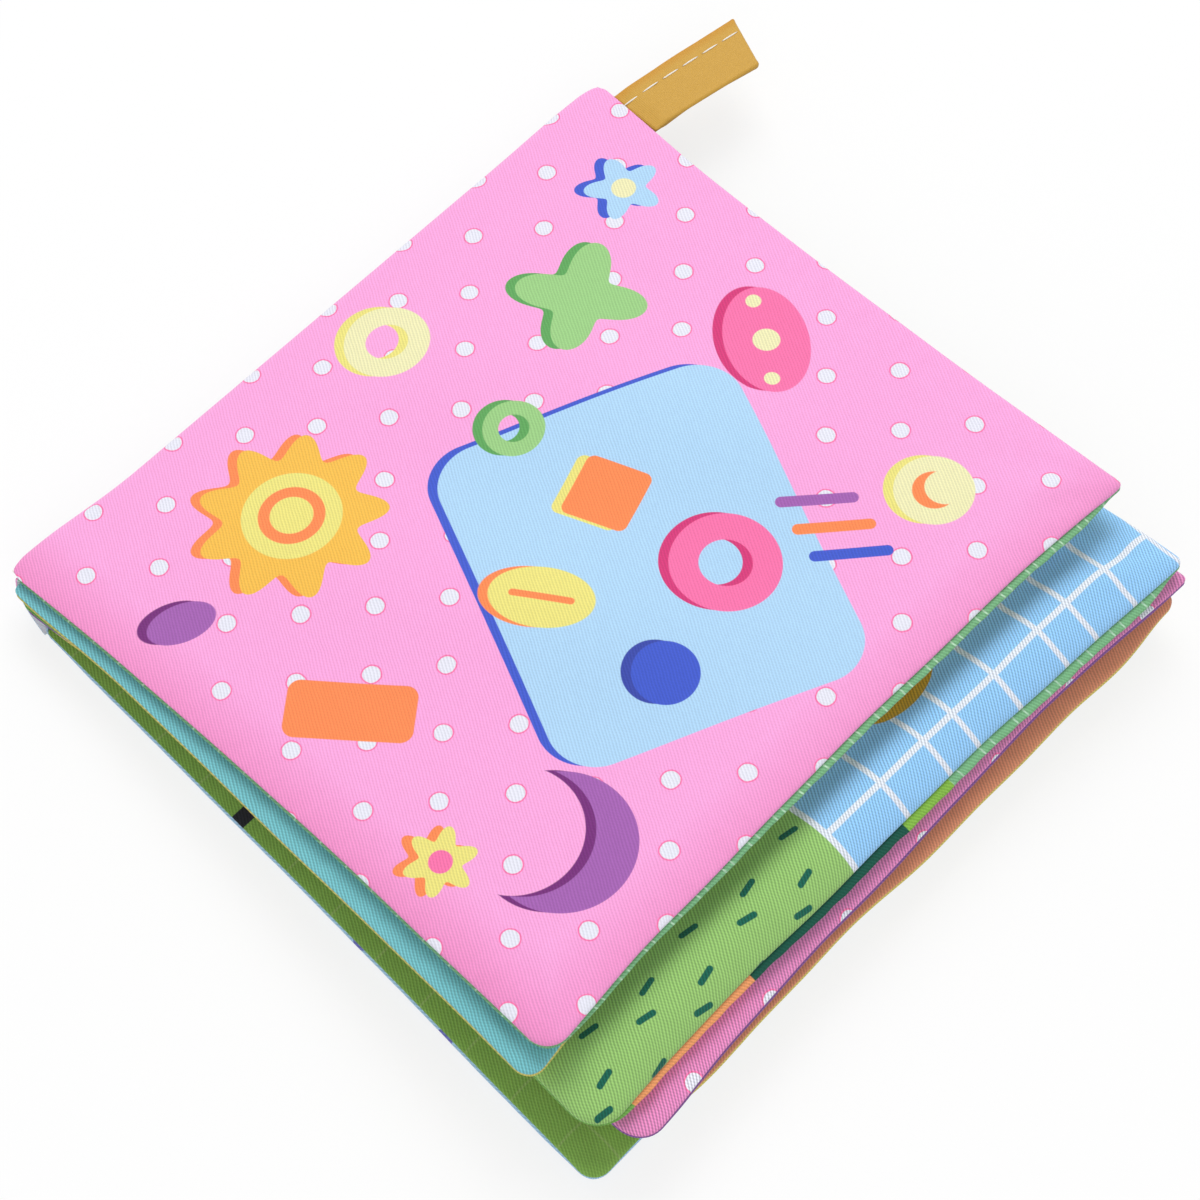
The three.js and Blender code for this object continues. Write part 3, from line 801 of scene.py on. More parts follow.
def motif_distance(nodes, point, motif, offset=(0, 0)):
    """Distance in millimetres from a motif's outline, less than 0 inside it."""
    centre = (motif.centre[0] + offset[0], motif.centre[1] + offset[1])
    size = motif.size
    if motif.kind == "egg":
        local = nodes.placed(point, centre, motif.turn, size)
        return nodes.math("MULTIPLY", nodes.minus(nodes.vector("LENGTH", local), 1), min(size))
    local = nodes.placed(point, centre, motif.turn)
    reach = nodes.vector("LENGTH", local)
    if motif.kind == "ball":
        return nodes.minus(reach, size[0])
    if motif.kind == "ring":
        return nodes.minus(nodes.math("ABSOLUTE", nodes.minus(reach, size[0])), size[1])
    if motif.kind == "block":
        beyond = nodes.vector("SUBTRACT", nodes.vector("ABSOLUTE", local), (size[0], size[1], 1))
        outside = nodes.vector("LENGTH", nodes.vector("MAXIMUM", beyond, (0, 0, 0)))
        return nodes.minus(outside, size[2])
    if motif.kind == "moon":
        bite = nodes.minus(size[0] * 0.92, nodes.vector("DISTANCE", local, (size[0] * 0.5, 0, 0)))
        return nodes.math("MAXIMUM", nodes.minus(reach, size[0]), bite)
    if motif.kind == "flower":
        x, y, _ = nodes.parts(local)
        petals = nodes.math("COSINE", nodes.math("MULTIPLY", nodes.math("ARCTAN2", y, x), size[2]))
        edge = nodes.math("MULTIPLY_ADD", petals, size[1], size[0])
        return nodes.minus(reach, edge)
    raise ValueError(f"no motif is called {motif.kind}")


def print_motifs(nodes, point, ground, motifs, shade_offset=(-1.5, -1.1)):
    """Prints each motif over a darker copy of itself, as if it were a flat toy seen from above."""
    for motif in motifs:
        if motif.shade is not None:
            ground = nodes.print_over(ground, motif_distance(nodes, point, motif, shade_offset), motif.shade)
        ground = nodes.print_over(ground, motif_distance(nodes, point, motif), motif.face)
    return ground


def dot_distance(nodes, point, origin, pitch, turn=0.5):
    """Distance from the nearest centre of a staggered lattice of dots."""
    local = nodes.placed(point, origin, turn)
    corner = (*pitch, 1)
    opposite = tuple(-value for value in corner)
    shifted = nodes.vector("ADD", local, (*pitch, 0))
    first, second = (
        nodes.vector("LENGTH", nodes.vector("WRAP", place, corner, opposite)) for place in (local, shifted)
    )
    return nodes.math("MINIMUM", first, second)


def print_dots(nodes, point, inks, origin, pink=None):
    """Pink cloth with pale dots that have a thin outline."""
    distance = dot_distance(nodes, point, origin, DOT_PITCH)
    wobble = nodes.math("MULTIPLY_ADD", nodes.noise(point, 0.6), 0.3, -0.15)
    distance = nodes.math("ADD", distance, wobble)
    pink = inks.pink if pink is None else pink
    ground = nodes.print_over(pink, nodes.minus(distance, DOT_OUTLINE_RADIUS), inks.hot_pink)
    return nodes.print_over(ground, nodes.minus(distance, DOT_RADIUS), inks.dot)


def line_distance(nodes, place, pitch, origin, width):
    """Distance from the nearest of a row of lines with one pitch."""
    nearest = nodes.math("WRAP", nodes.minus(place, origin), pitch / 2, -pitch / 2)
    return nodes.minus(nodes.math("ABSOLUTE", nearest), width / 2)


def print_lines(nodes, point, ground, ink, pitch, origin=(0, 0), width=0.7):
    """Crossing lines both ways."""
    x, y, _ = nodes.parts(point)
    across = line_distance(nodes, x, pitch[0], origin[0], width)
    along = line_distance(nodes, y, pitch[1], origin[1], width)
    return nodes.print_over(ground, nodes.math("MINIMUM", across, along), ink)


def zone(nodes, place, low, high):
    """Distance outside the stretch from low to high."""
    middle, half = (low + high) / 2, (high - low) / 2
    return nodes.minus(nodes.math("ABSOLUTE", nodes.minus(place, middle)), half)


def print_strokes(nodes, point, ground, ink, cell=(6.6, 9.8), stroke=(2.9, 0.6)):
    """Short strokes, one in each cell, each with a place and turn of its own."""
    scaled = nodes.vector("DIVIDE", point, (*cell, 1))
    corner = nodes.vector("FLOOR", scaled)
    chance = nodes.add("ShaderNodeTexWhiteNoise", {"Vector": corner}, noise_dimensions="2D").outputs["Color"]
    offset = nodes.vector("SUBTRACT", chance, (0.5, 0.5, 0.5))
    local = nodes.vector("SUBTRACT", nodes.vector("SUBTRACT", scaled, corner), (0.5, 0.5, 0))
    local = nodes.vector("MULTIPLY", nodes.vector("SUBTRACT", local, nodes.scaled(offset, 0.45)), (*cell, 0))
    lean = nodes.math("MULTIPLY_ADD", nodes.parts(chance)[2], 0.7, -1.9)
    turned = nodes.add(
        "ShaderNodeVectorRotate", {"Vector": local, "Angle": lean}, rotation_type="Z_AXIS"
    ).outputs[0]
    beyond = nodes.vector("SUBTRACT", nodes.vector("ABSOLUTE", turned), (stroke[0] - stroke[1], 0, 1))
    distance = nodes.vector("LENGTH", nodes.vector("MAXIMUM", beyond, (0, 0, 0)))
    return nodes.print_over(ground, nodes.minus(distance, stroke[1]), ink)


def askew(nodes, point, across, along, offset):
    """The point as a print has it that was laid on the cloth a little askew."""
    x = nodes.math("ADD", nodes.vector("DOT_PRODUCT", point, across), offset[0])
    y = nodes.math("ADD", nodes.vector("DOT_PRODUCT", point, along), offset[1])
    return nodes.joined(x, y)


def front_cover_print(nodes, point, inks):
    point = askew(nodes, point, COVER_ACROSS, COVER_ALONG, COVER_OFFSET)
    x, y, _ = nodes.parts(point)
    # The ground pink is painted darker towards the tail and the fore-edge: painted shade where the cover's
    # rim rounds away from the light
    near_tail = nodes.math("MULTIPLY_ADD", y, -1 / 11, -64 / 11, clamp=True)
    near_fore = nodes.math("MULTIPLY_ADD", x, 1 / 10, -124.5 / 10, clamp=True)
    depth = nodes.math("MAXIMUM", near_tail, nodes.math("MULTIPLY", near_fore, 0.7))
    pink = nodes.mix(nodes.math("MULTIPLY", depth, 0.8), inks.pink, linear(236, 138, 194))
    ground = print_dots(nodes, point, inks, COVER_DOTS, pink)
    navy = linear(58, 74, 170)
    plum = linear(118, 44, 122)
    violet = linear(164, 98, 178)
    leaf_green = linear(156, 206, 134)
    moss = linear(96, 166, 92)
    rose = linear(214, 56, 122)
    lemon = linear(236, 226, 128)
    amber = linear(246, 190, 78)
    motifs = (
        Motif("block", (84, 4), (27, 21, 9), -24, inks.light_blue, inks.deep_blue),
        Motif("ring", (95, 13), (7.6, 2.7), 0, inks.hot_pink, rose),
        Motif("block", (69, 9), (5, 5, 1.6), 18, inks.orange, lemon),
        Motif("egg", (76, -15), (10, 6.4), 30, lemon, inks.orange),
        Motif("ball", (103, -11), (6.2,), 0, inks.deep_blue, navy),
        Motif("flower", (29, -33), (15.5, 2.6, 9), 8, amber, inks.orange),
        Motif("ball", (29, -33), (9.5,), 0, lemon, None),
        Motif("ring", (29, -33), (5.2, 1.1), 0, inks.orange, None),
        Motif("moon", (112, -47), (13.5,), 205, violet, plum),
        Motif("flower", (34, 38), (9.6, 3.3, 4), 30, leaf_green, moss),
        Motif("egg", (67, 54), (12.5, 8), -35, inks.hot_pink, rose),
        Motif("ring", (14, 6), (6.2, 2.1), 0, inks.cream, lemon),
        Motif("block", (66, -54), (9.5, 3.4, 2.4), 38, inks.orange, None),
        Motif("ball", (112, 50), (7.4,), 0, inks.cream, lemon),
        Motif("block", (98, 34), (6.5, 0, 1.1), 48, violet, None),
        Motif("block", (104, 32), (6.5, 0, 1.1), 48, inks.orange, None),
        Motif("block", (110, 30), (6.5, 0, 1.1), 48, inks.deep_blue, None),
        Motif("flower", (22, 62), (6, 1.7, 5), 12, inks.light_blue, inks.deep_blue),
        Motif("ball", (22, 62), (2.4,), 0, inks.cream, None),
        Motif("flower", (99, -64), (5.4, 1.4, 6), 0, lemon, inks.orange),
        Motif("ball", (99, -64), (2.2,), 0, inks.hot_pink, None),
        Motif("ring", (46, 8), (4.4, 1.5), 0, leaf_green, moss),
        Motif("egg", (30, -62), (6.6, 4), 65, violet, plum),
        Motif("ball", (67, 54), (2.6,), 0, inks.cream, None),
        Motif("ball", (59, 59), (1.5,), 0, inks.cream, None),
        Motif("ball", (74, 48), (1.5,), 0, inks.cream, None),
        Motif("block", (76, -15), (5.5, 0, 0.7), 30, inks.orange, None),
        Motif("moon", (112, 50), (4,), 60, inks.orange, None),
    )
    return print_motifs(nodes, point, ground, motifs)


def print_check(nodes, point, ground, ink, pitch, high):
    """Check lines that run off the cloth across its seams, with no line along a seam."""
    x, y, _ = nodes.parts(point)
    slanted = nodes.math("MULTIPLY_ADD", x, 0.12, y)
    across = nodes.math(
        "MINIMUM",
        line_distance(nodes, slanted, pitch, 0, 0.34),
        line_distance(nodes, slanted, pitch, 0.3 * pitch, 0.3),
    )
    along = line_distance(nodes, x, pitch, 0, 0.34)
    from_sides = nodes.minus(nodes.math("ABSOLUTE", y), 73)
    across = nodes.math("MAXIMUM", across, from_sides)
    along = nodes.math("MAXIMUM", along, nodes.minus(x, high - 2))
    return nodes.print_over(ground, nodes.math("MINIMUM", across, along), ink)


def mint_print(nodes, point, inks):
    ground = print_check(nodes, point, inks.mint, linear(182, 220, 188), 6.6, 134.7)
    motifs = (
        Motif("block", (72, 0), (44, 44, 8), 0, linear(214, 236, 210), None),
        Motif("egg", (72, 6), (24, 18), 0, inks.yellow, inks.orange),
        Motif("ball", (72, -34), (6,), 0, inks.orange, None),
    )
    return print_motifs(nodes, point, ground, motifs)


def teal_print(nodes, point, inks):
    motifs = (
        Motif("block", (70, -46), (38, 8, 6), 4, linear(142, 210, 212), None),
        Motif("egg", (70, 8), (26, 17), 14, inks.orange, linear(206, 84, 40)),
        Motif("ring", (110, 40), (5.5, 1), 0, inks.dot, None),
        Motif("ring", (98, 54), (3.4, 0.8), 0, inks.dot, None),
        Motif("ring", (34, 44), (4.4, 0.9), 0, inks.dot, None),
    )
    return print_motifs(nodes, point, inks.teal, motifs)


def yellow_print(nodes, point, inks):
    leaf_green = linear(120, 180, 90)
    motifs = (
        Motif("flower", (72, 0), (24, 6, 5), 18, inks.hot_pink, linear(204, 50, 110)),
        Motif("ball", (72, 0), (10,), 0, inks.cream, None),
        Motif("egg", (30, -44), (11, 5), 40, leaf_green, None),
        Motif("egg", (114, -44), (11, 5), -40, leaf_green, None),
    )
    return print_motifs(nodes, point, inks.yellow, motifs)


CHECK_COLUMN = 142.3
CHECK_COLUMN_STEP = 11.2
CHECK_COLUMN_WIDTH = 1.2
CHECK_HALF_WIDTH = 0.55
CHECK_LINES = 8
CHECK_FIRST = 5
CHECK_STEP = 10
CHECK_SWAY = 1.5
GRASS_EDGE = -8.8
GRASS_EDGE_HALF_WIDTH = 0.6

# Strokes on the strip of grass that shows at the fore-edge, in rows along it, in mm and degrees.
# By turns they stand to one side of their row and lean to that side.
STROKE_ROWS = 3
STROKES_IN_ROW = 5
FIRST_STROKE = (138, -13)
ROW_STEP = 6
STROKE_STEP = 12.5
STROKE_SWAY = 1
STROKE_LEAN = 12
STROKE_REACH = 2
STROKE_RADIUS = 0.6


def stroke_motifs(ink):
    """The strokes of the grass, with each row begun a little further on than the one before."""
    motifs = []
    for row in range(STROKE_ROWS):
        for count in range(STROKES_IN_ROW):
            side = 1 if (row + count) % 2 else -1
            x = FIRST_STROKE[0] + row * ROW_STEP + side * STROKE_SWAY
            y = FIRST_STROKE[1] - (count + row / STROKE_ROWS) * STROKE_STEP
            size = (STROKE_REACH - STROKE_RADIUS, 0, STROKE_RADIUS)
            motifs.append(Motif("block", (x, y), size, 90 + side * STROKE_LEAN, ink, None))
    return motifs


def wobble_of(nodes, point):
    """A slow drift of the point, as lines drawn by hand have."""
    drift = nodes.add(
        "ShaderNodeTexNoise", {"Vector": point, "Scale": 0.05, "Detail": 1.0}
    ).outputs["Color"]
    return nodes.vector("SUBTRACT", drift, (0.5, 0.5, 0.5))


def sky_grass_print(nodes, point, inks):
    wobbled = nodes.vector("ADD", point, nodes.scaled(wobble_of(nodes, point), 0.9))
    x, y, _ = nodes.parts(wobbled)
    lines = line_distance(nodes, x, CHECK_COLUMN_STEP, CHECK_COLUMN, CHECK_COLUMN_WIDTH)
    for count in range(CHECK_LINES):
        place = CHECK_FIRST + CHECK_STEP * count + CHECK_SWAY * math.sin(2 * count)
        line = zone(nodes, y, place - CHECK_HALF_WIDTH, place + CHECK_HALF_WIDTH)
        lines = nodes.math("MINIMUM", lines, line)
    sky = nodes.print_over(inks.sky, lines, inks.pale)
    motifs = (
        Motif("ball", (60, 34), (15,), 0, linear(236, 190, 60), linear(200, 70, 60)),
        Motif("moon", (122.5, 21), (13,), 180, linear(204, 160, 50), linear(170, 48, 56)),
    )
    sky = print_motifs(nodes, point, sky, motifs)
    hidden = nodes.covered(nodes.minus(x, 131))
    grass = nodes.mix(hidden, inks.grass, print_strokes(nodes, point, inks.grass, inks.stroke))
    for stroke in stroke_motifs(inks.stroke):
        grass = nodes.print_over(grass, motif_distance(nodes, wobbled, stroke), inks.stroke)
    ground = nodes.mix(nodes.covered(nodes.math("ADD", y, -GRASS_EDGE)), sky, grass)
    edge = zone(nodes, y, GRASS_EDGE - GRASS_EDGE_HALF_WIDTH, GRASS_EDGE + GRASS_EDGE_HALF_WIDTH)
    return nodes.print_over(ground, edge, inks.pale)


def third_lower_print(nodes, point, inks):
    """Mint at the head, then bright green, dark green and peach towards the tail."""
    ground = print_check(nodes, point, inks.mint, linear(176, 214, 184), 8.4, 149.5)
    _, y, _ = nodes.parts(point)
    stripes = (
        (15.5, linear(132, 184, 70)),
        (3.5, linear(12, 82, 66)),
        (-35.5, inks.peach),
        (-66, linear(120, 176, 84)),
    )
    for head_end, ink in stripes:
        ground = nodes.print_over(ground, nodes.minus(y, head_end), ink)
    motifs = (
        Motif("egg", (70, 24), (30, 22), 0, inks.light_blue, inks.deep_blue),
        Motif("ball", (70, 24), (9,), 0, inks.cream, None),
    )
    return print_motifs(nodes, point, ground, motifs)


def dotted_page_print(nodes, point, inks):
    # The pink here is darker than the same cloth on the front cover: painted shade for a leaf whose visible
    # strip lies in shade
    ground = print_dots(nodes, point, inks, (153.4, 2.4), linear(228, 140, 194))
    motifs = (
        Motif("block", (66, 0), (34, 30, 10), 12, inks.cream, inks.orange),
        Motif("moon", (66, 0), (17,), 150, inks.purple, None),
    )
    return print_motifs(nodes, point, ground, motifs)


def purple_print(nodes, point, inks):
    motifs = (
        Motif("ball", (76, 4), (24,), 0, inks.cream, inks.yellow),
        Motif("ring", (28, 44), (7, 1.8), 0, inks.pink, None),
        Motif("ring", (120, -46), (7, 1.8), 0, inks.pink, None),
    )
    return print_motifs(nodes, point, inks.purple, motifs)


def salmon_print(nodes, point, inks):
    brown = linear(170, 88, 56)
    bars = ((-22, 36, inks.cream), (8, 28, inks.yellow), (38, 18, inks.teal))
    motifs = [Motif("block", (70, y), (reach, 5, 4), 0, ink, brown) for y, reach, ink in bars]
    return print_motifs(nodes, point, inks.salmon, motifs)


def yellow_page_print(nodes, point, inks):
    motifs = (
        Motif("ring", (74, 0), (26, 6), 0, inks.teal, linear(60, 130, 140)),
        Motif("ball", (74, 0), (10,), 0, inks.orange, None),
    )
    return print_motifs(nodes, point, inks.yellow, motifs)


def olive_print(nodes, point, inks):
    ground = print_lines(nodes, point, inks.olive, linear(150, 186, 104), (11.7, 11.7), (3.2, 2), 0.4)
    motifs = (
        Motif("block", (60.4, -72), (1.3, 12, 0.2), 0, inks.ink, None),
        Motif("block", (60.4, -10), (1.3, 16, 0.2), 0, inks.ink, None),
        Motif("egg", (98, 14), (22, 15), 25, inks.light_blue, inks.deep_blue),
        Motif("block", (32, 30), (9, 9, 3), 14, inks.orange, None),
    )
    return print_motifs(nodes, point, ground, motifs)


def pink_dots_print(nodes, point, inks):
    return print_dots(nodes, point, inks, COVER_DOTS)


def blue_dots_print(nodes, point, inks):
    distance = dot_distance(nodes, point, (6, 5), (11.5, 12.5), 4)
    return nodes.print_over(inks.light_blue, nodes.minus(distance, 1.8), linear(120, 122, 206))


def light_blue_print(nodes, point, inks):
    ground = blue_dots_print(nodes, point, inks)
    motifs = (
        Motif("egg", (78, 6), (34, 26), 0, inks.cream, inks.deep_blue),
        Motif("flower", (78, 6), (13, 3, 6), 0, inks.hot_pink, None),
    )
    return print_motifs(nodes, point, ground, motifs)


# The material slot, the print and how much painted shade darkens the weave's valleys, for each cloth
CLOTH_PRINTS = {
    "front_cover_upper_cloth": ("pink_dot_cotton", front_cover_print, 0.22),
    "front_cover_lower_cloth": ("mint_cotton", mint_print, 0.4),
    "leaf_2_upper_cloth": ("teal_cotton", teal_print, 0.6),
    "leaf_2_lower_cloth": ("yellow_cotton", yellow_print, 0.4),
    "leaf_3_upper_cloth": ("sky_grass_cotton", sky_grass_print, 0.65),
    "leaf_3_lower_cloth": ("mint_cotton", third_lower_print, 0.35),
    "leaf_4_upper_cloth": ("pink_dot_cotton", dotted_page_print, 0.8),
    "leaf_4_lower_cloth": ("purple_cotton", purple_print, 0.4),
    "leaf_5_upper_cloth": ("salmon_cotton", salmon_print, 0.45),
    "leaf_5_lower_cloth": ("yellow_cotton", yellow_page_print, 0.4),
    "back_cover_upper_cloth": ("olive_cotton", olive_print, 0.45),
    "back_cover_lower_cloth": ("light_blue_cotton", light_blue_print, 0.35),
}

# Weave of the printed twill: pitch of its ribs in millimetres and the direction across them
RIB_PITCH = 0.58
RIB_TURN = math.radians(60)
RIB_DEPTH = 0.1 * MM


def cloth_point(nodes):
    """The place on the cloth in millimetres, read from its UV map."""
    uv = nodes.add("ShaderNodeUVMap", uv_map=CLOTH_UV).outputs[0]
    return nodes.scaled(uv, 1 / MM)


def object_point(nodes):
    """The place in the piece's own frame, in metres."""
    return nodes.add("ShaderNodeTexCoord").outputs["Object"]


def twill(nodes, point):
    """Height of the twill weave from 0 to 1: slanted ribs, each broken by the yarns that cross it."""
    frequency = 2 * math.pi / RIB_PITCH
    across = (math.cos(RIB_TURN) * frequency, math.sin(RIB_TURN) * frequency, 0)
    along = (-math.sin(RIB_TURN) * frequency, math.cos(RIB_TURN) * frequency, 0)
    drift = nodes.math("MULTIPLY", nodes.noise(point, 0.22, 1.0), 5.0)
    rib = nodes.math("ADD", nodes.vector("DOT_PRODUCT", point, across), drift)
    yarn = nodes.math("ADD", nodes.vector("DOT_PRODUCT", point, along), nodes.math("MULTIPLY", rib, 0.5))
    ribs = nodes.math("MULTIPLY_ADD", nodes.math("SINE", rib), 0.38, 0.5)
    return nodes.math("MULTIPLY_ADD", nodes.math("SINE", yarn), 0.12, ribs)


def printed_twill(name, print_colour, inks, valley_shade=0.3):
    """Printed cotton twill: the valleys between its ribs are painted darker, as painted shade of the weave.
    """
    nodes = material_nodes(name)
    point = cloth_point(nodes)
    ink = print_colour(nodes, point, inks)
    height = twill(nodes, point)
    # Painted shade: the colour darkens in the valleys of the weave, by the cloth's own amount
    shade = nodes.math("MULTIPLY_ADD", height, valley_shade, 0.97 - valley_shade / 2)
    mottle = nodes.math("MULTIPLY_ADD", nodes.noise(point, 0.9, 4.0, 0.7), 0.1, 0.95)
    shade = nodes.math("MULTIPLY", shade, mottle)
    tint = nodes.add("ShaderNodeCombineColor", {0: shade, 1: shade, 2: shade}).outputs[0]
    return nodes.surface(nodes.mix(1.0, ink, tint, "MULTIPLY"), height, RIB_DEPTH)


def plain_reverse(name, inks):
    """The unprinted inner side of the cotton."""
    nodes = material_nodes(name)
    point = cloth_point(nodes)
    height = twill(nodes, point)
    stain = nodes.math("MULTIPLY", nodes.noise(point, 0.15, 2.0), 0.5)
    return nodes.surface(nodes.mix(stain, linear(236, 234, 240), inks.light_blue), height, RIB_DEPTH)


def wadding_material(name, inks):
    nodes = material_nodes(name)
    place = object_point(nodes)
    fluff = nodes.noise(place, 900, 6.0, 0.75)
    return nodes.surface(inks.wadding, fluff, 0.4 * MM, roughness=1.0, sheen=0.5)


def film_material(name, inks):
    nodes = material_nodes(name)
    place = object_point(nodes)
    creases = nodes.add(
        "ShaderNodeTexVoronoi", {"Vector": place, "Scale": 220}, feature="DISTANCE_TO_EDGE"
    ).outputs[0]
    return nodes.surface(
        inks.film, creases, 0.1 * MM, roughness=0.18, sheen=0.0, **{"Transmission Weight": 0.6}
    )


def thread_material(name, inks):
    nodes = material_nodes(name)
    place = object_point(nodes)
    fuzz = nodes.noise(place, 2600, 4.0, 0.7)
    return nodes.surface(inks.thread, fuzz, 0.05 * MM, roughness=0.7, sheen=0.4)


def tape_material(name, inks):
    """Satin tape: fine ribs across it, a soft gloss, and painted shade along its curled left edge."""
    nodes = material_nodes(name)
    point = cloth_point(nodes)
    x, y, _ = nodes.parts(point)
    ribs = nodes.math("SINE", nodes.math("MULTIPLY", y, 2 * math.pi / 0.36))
    yarns = nodes.math("SINE", nodes.math("MULTIPLY", x, 2 * math.pi / 0.24))
    height = nodes.math("MULTIPLY_ADD", ribs, 0.3, nodes.math("MULTIPLY_ADD", yarns, 0.15, 0.5))
    mottle = nodes.noise(point, 0.5, 3.0, 0.6)
    # A darker band along the tape's left edge: painted shade where that edge curls up
    edge = nodes.covered(nodes.math("ADD", 4.7, x), 1.8)
    body = nodes.mix(nodes.math("MULTIPLY", mottle, 0.35), inks.tape, linear(216, 172, 80))
    body = nodes.mix(nodes.math("MULTIPLY", edge, 0.7), body, linear(200, 138, 34))
    return nodes.surface(body, height, 0.05 * MM, roughness=0.5, sheen=0.05)


def sew_cloth(context, shape, side):
    """One printed cloth of a leaf, as a thin closed shell with its edge rolled into the seam."""
    name = f"{shape.form.name}_{SIDE_NAMES[side]}"
    slot, print_colour, valley_shade = CLOTH_PRINTS[name]
    points, faces, border, uv = cloth_points(shape, side)
    points, faces, uv = shell(points, faces, shape.cloth.thickness, border, uv)
    piece = make_object(f"{name}_sewn", shape.in_book(points), faces, uv)
    material = printed_twill(f"{name}_print", print_colour, context.scene.book_colours, valley_shade)
    piece.data.materials.append(material)
    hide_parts(name)
    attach(piece, shape.form.name)


def padding_grid(shape, low, high, half, steps):
    lines_u = np.linspace(low, high, steps + 1)
    lines_v = np.linspace(-half, half, steps + 1)
    u, v = np.meshgrid(lines_u, lines_v, indexing="ij")
    return shape.round_corners(u, v, low, high, half, shape.cloth.padding_radius)


def stuff_leaf(context, shape):
    """The wadding of one leaf, a soft pad that stops short of the rim and of the spine."""
    cloth = shape.cloth
    name = f"{shape.form.name}_wadding"
    u, v = padding_grid(
        shape, shape.low + cloth.padding_spine_margin, shape.high - cloth.padding_inset,
        shape.half - cloth.padding_inset, PADDING_STEPS,
    )
    x, y = shape.off_square(u, v)
    ramp = np.clip((u - cloth.film_spine_margin) / cloth.film_ramp + 1, 0, 1)
    film = cloth.film_room * ramp ** 2 * (3 - 2 * ramp)
    faces_at = [shape.face_height(u, v, side, cloth.padding_slack) for side in (UPPER, LOWER)]
    upper = stacked(x, y, faces_at[0] - cloth.layer_room - film)
    lower = stacked(x, y, faces_at[1] + cloth.layer_room)
    points, faces = closed_between(upper, lower)
    piece = make_object(f"{name}_fluffed", shape.in_book(points), faces)
    piece.data.materials.append(shared_material("fluffy_wadding", wadding_material, context))
    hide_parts(name)
    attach(piece, shape.form.name)


def lay_film(context, shape):
    """The film of one leaf, creased all over, between the wadding and the upper cloth."""
    cloth = shape.cloth
    name = f"{shape.form.name}_crinkle_film"
    u, v = padding_grid(
        shape, cloth.film_spine_margin, shape.high - cloth.film_edge_margin,
        shape.half - cloth.film_edge_margin, FILM_STEPS,
    )
    x, y = shape.off_square(u, v)
    creases = abs(wave(u + 0.6 * v, 9.7 * MM, 1)) + abs(wave(v - 0.3 * u, 7.3 * MM, 2))
    creases = creases + abs(wave(0.8 * u - v, 4.9 * MM, 3)) - 1.9
    middle = shape.face_height(u, v, UPPER) - cloth.layer_room - cloth.film_thickness
    middle = middle + cloth.film_crinkle * creases
    upper = stacked(x, y, middle + cloth.film_thickness / 2)
    lower = stacked(x, y, middle - cloth.film_thickness / 2)
    points, faces = closed_between(upper, lower)
    piece = make_object(f"{name}_creased", shape.in_book(points), faces)
    piece.data.materials.append(shared_material("creased_film", film_material, context))
    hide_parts(name)
    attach(piece, shape.form.name)


def shared_material(name, make, context):
    return bpy.data.materials.get(name) or make(name, context.scene.book_colours)


class FoldCurve:
    """Cross-section of the cloth that folds round the spine, from the front cover to the back cover."""

    SAMPLES = 2000

    def __init__(self, scene):
        spine = scene.spine_sizes
        top, base = LeafShape(scene, LEAF_FORMS[-1]), LeafShape(scene, LEAF_FORMS[0])
        lean = top.sizes.rim_half * math.sin(top.tilt)
        start = np.array((top.low - spine.fold_clearance - lean, top.rise))
        end = np.array((base.low - spine.fold_clearance, base.rise))
        chord = end - start
        outward = np.array((chord[1], -chord[0])) / np.linalg.norm(chord) * spine.fold_bulge
        t = np.linspace(0, 1, self.SAMPLES)[:, None]
        first, second = start + chord / 3 + outward, end - chord / 3 + outward
        self.points = (
            (1 - t) ** 3 * start + 3 * t * (1 - t) ** 2 * first + 3 * t ** 2 * (1 - t) * second + t ** 3 * end
        )
        seam = np.array((spine.seam_from_spine, top.sizes.pitch_at_spine * len(LEAF_FORMS) / 2))
        from_seam = self.points - seam
        self.angles = np.mod(np.arctan2(from_seam[:, 1], from_seam[:, 0]), 2 * math.pi)
        self.lengths = lengths_along(self.points)
        tangent = np.gradient(self.points, axis=0)
        tangent /= np.linalg.norm(tangent, axis=1)[:, None]
        self.normals = stacked(tangent[:, 1], -tangent[:, 0])

    def strip(self, number, count):
        """Places, outward normals and lengths along one of a number of strips of equal angle."""
        shares = (number + np.linspace(0, 1, FOLD_STEPS + 1)) / count
        angles = self.angles[0] + (self.angles[-1] - self.angles[0]) * shares
        places = np.interp(angles, self.angles, np.arange(self.SAMPLES))

        def at(values):
            return np.interp(places, np.arange(self.SAMPLES), values)

        middle = stacked(at(self.points[:, 0]), at(self.points[:, 1]))
        normal = stacked(at(self.normals[:, 0]), at(self.normals[:, 1]))
        return middle, normal, at(self.lengths)


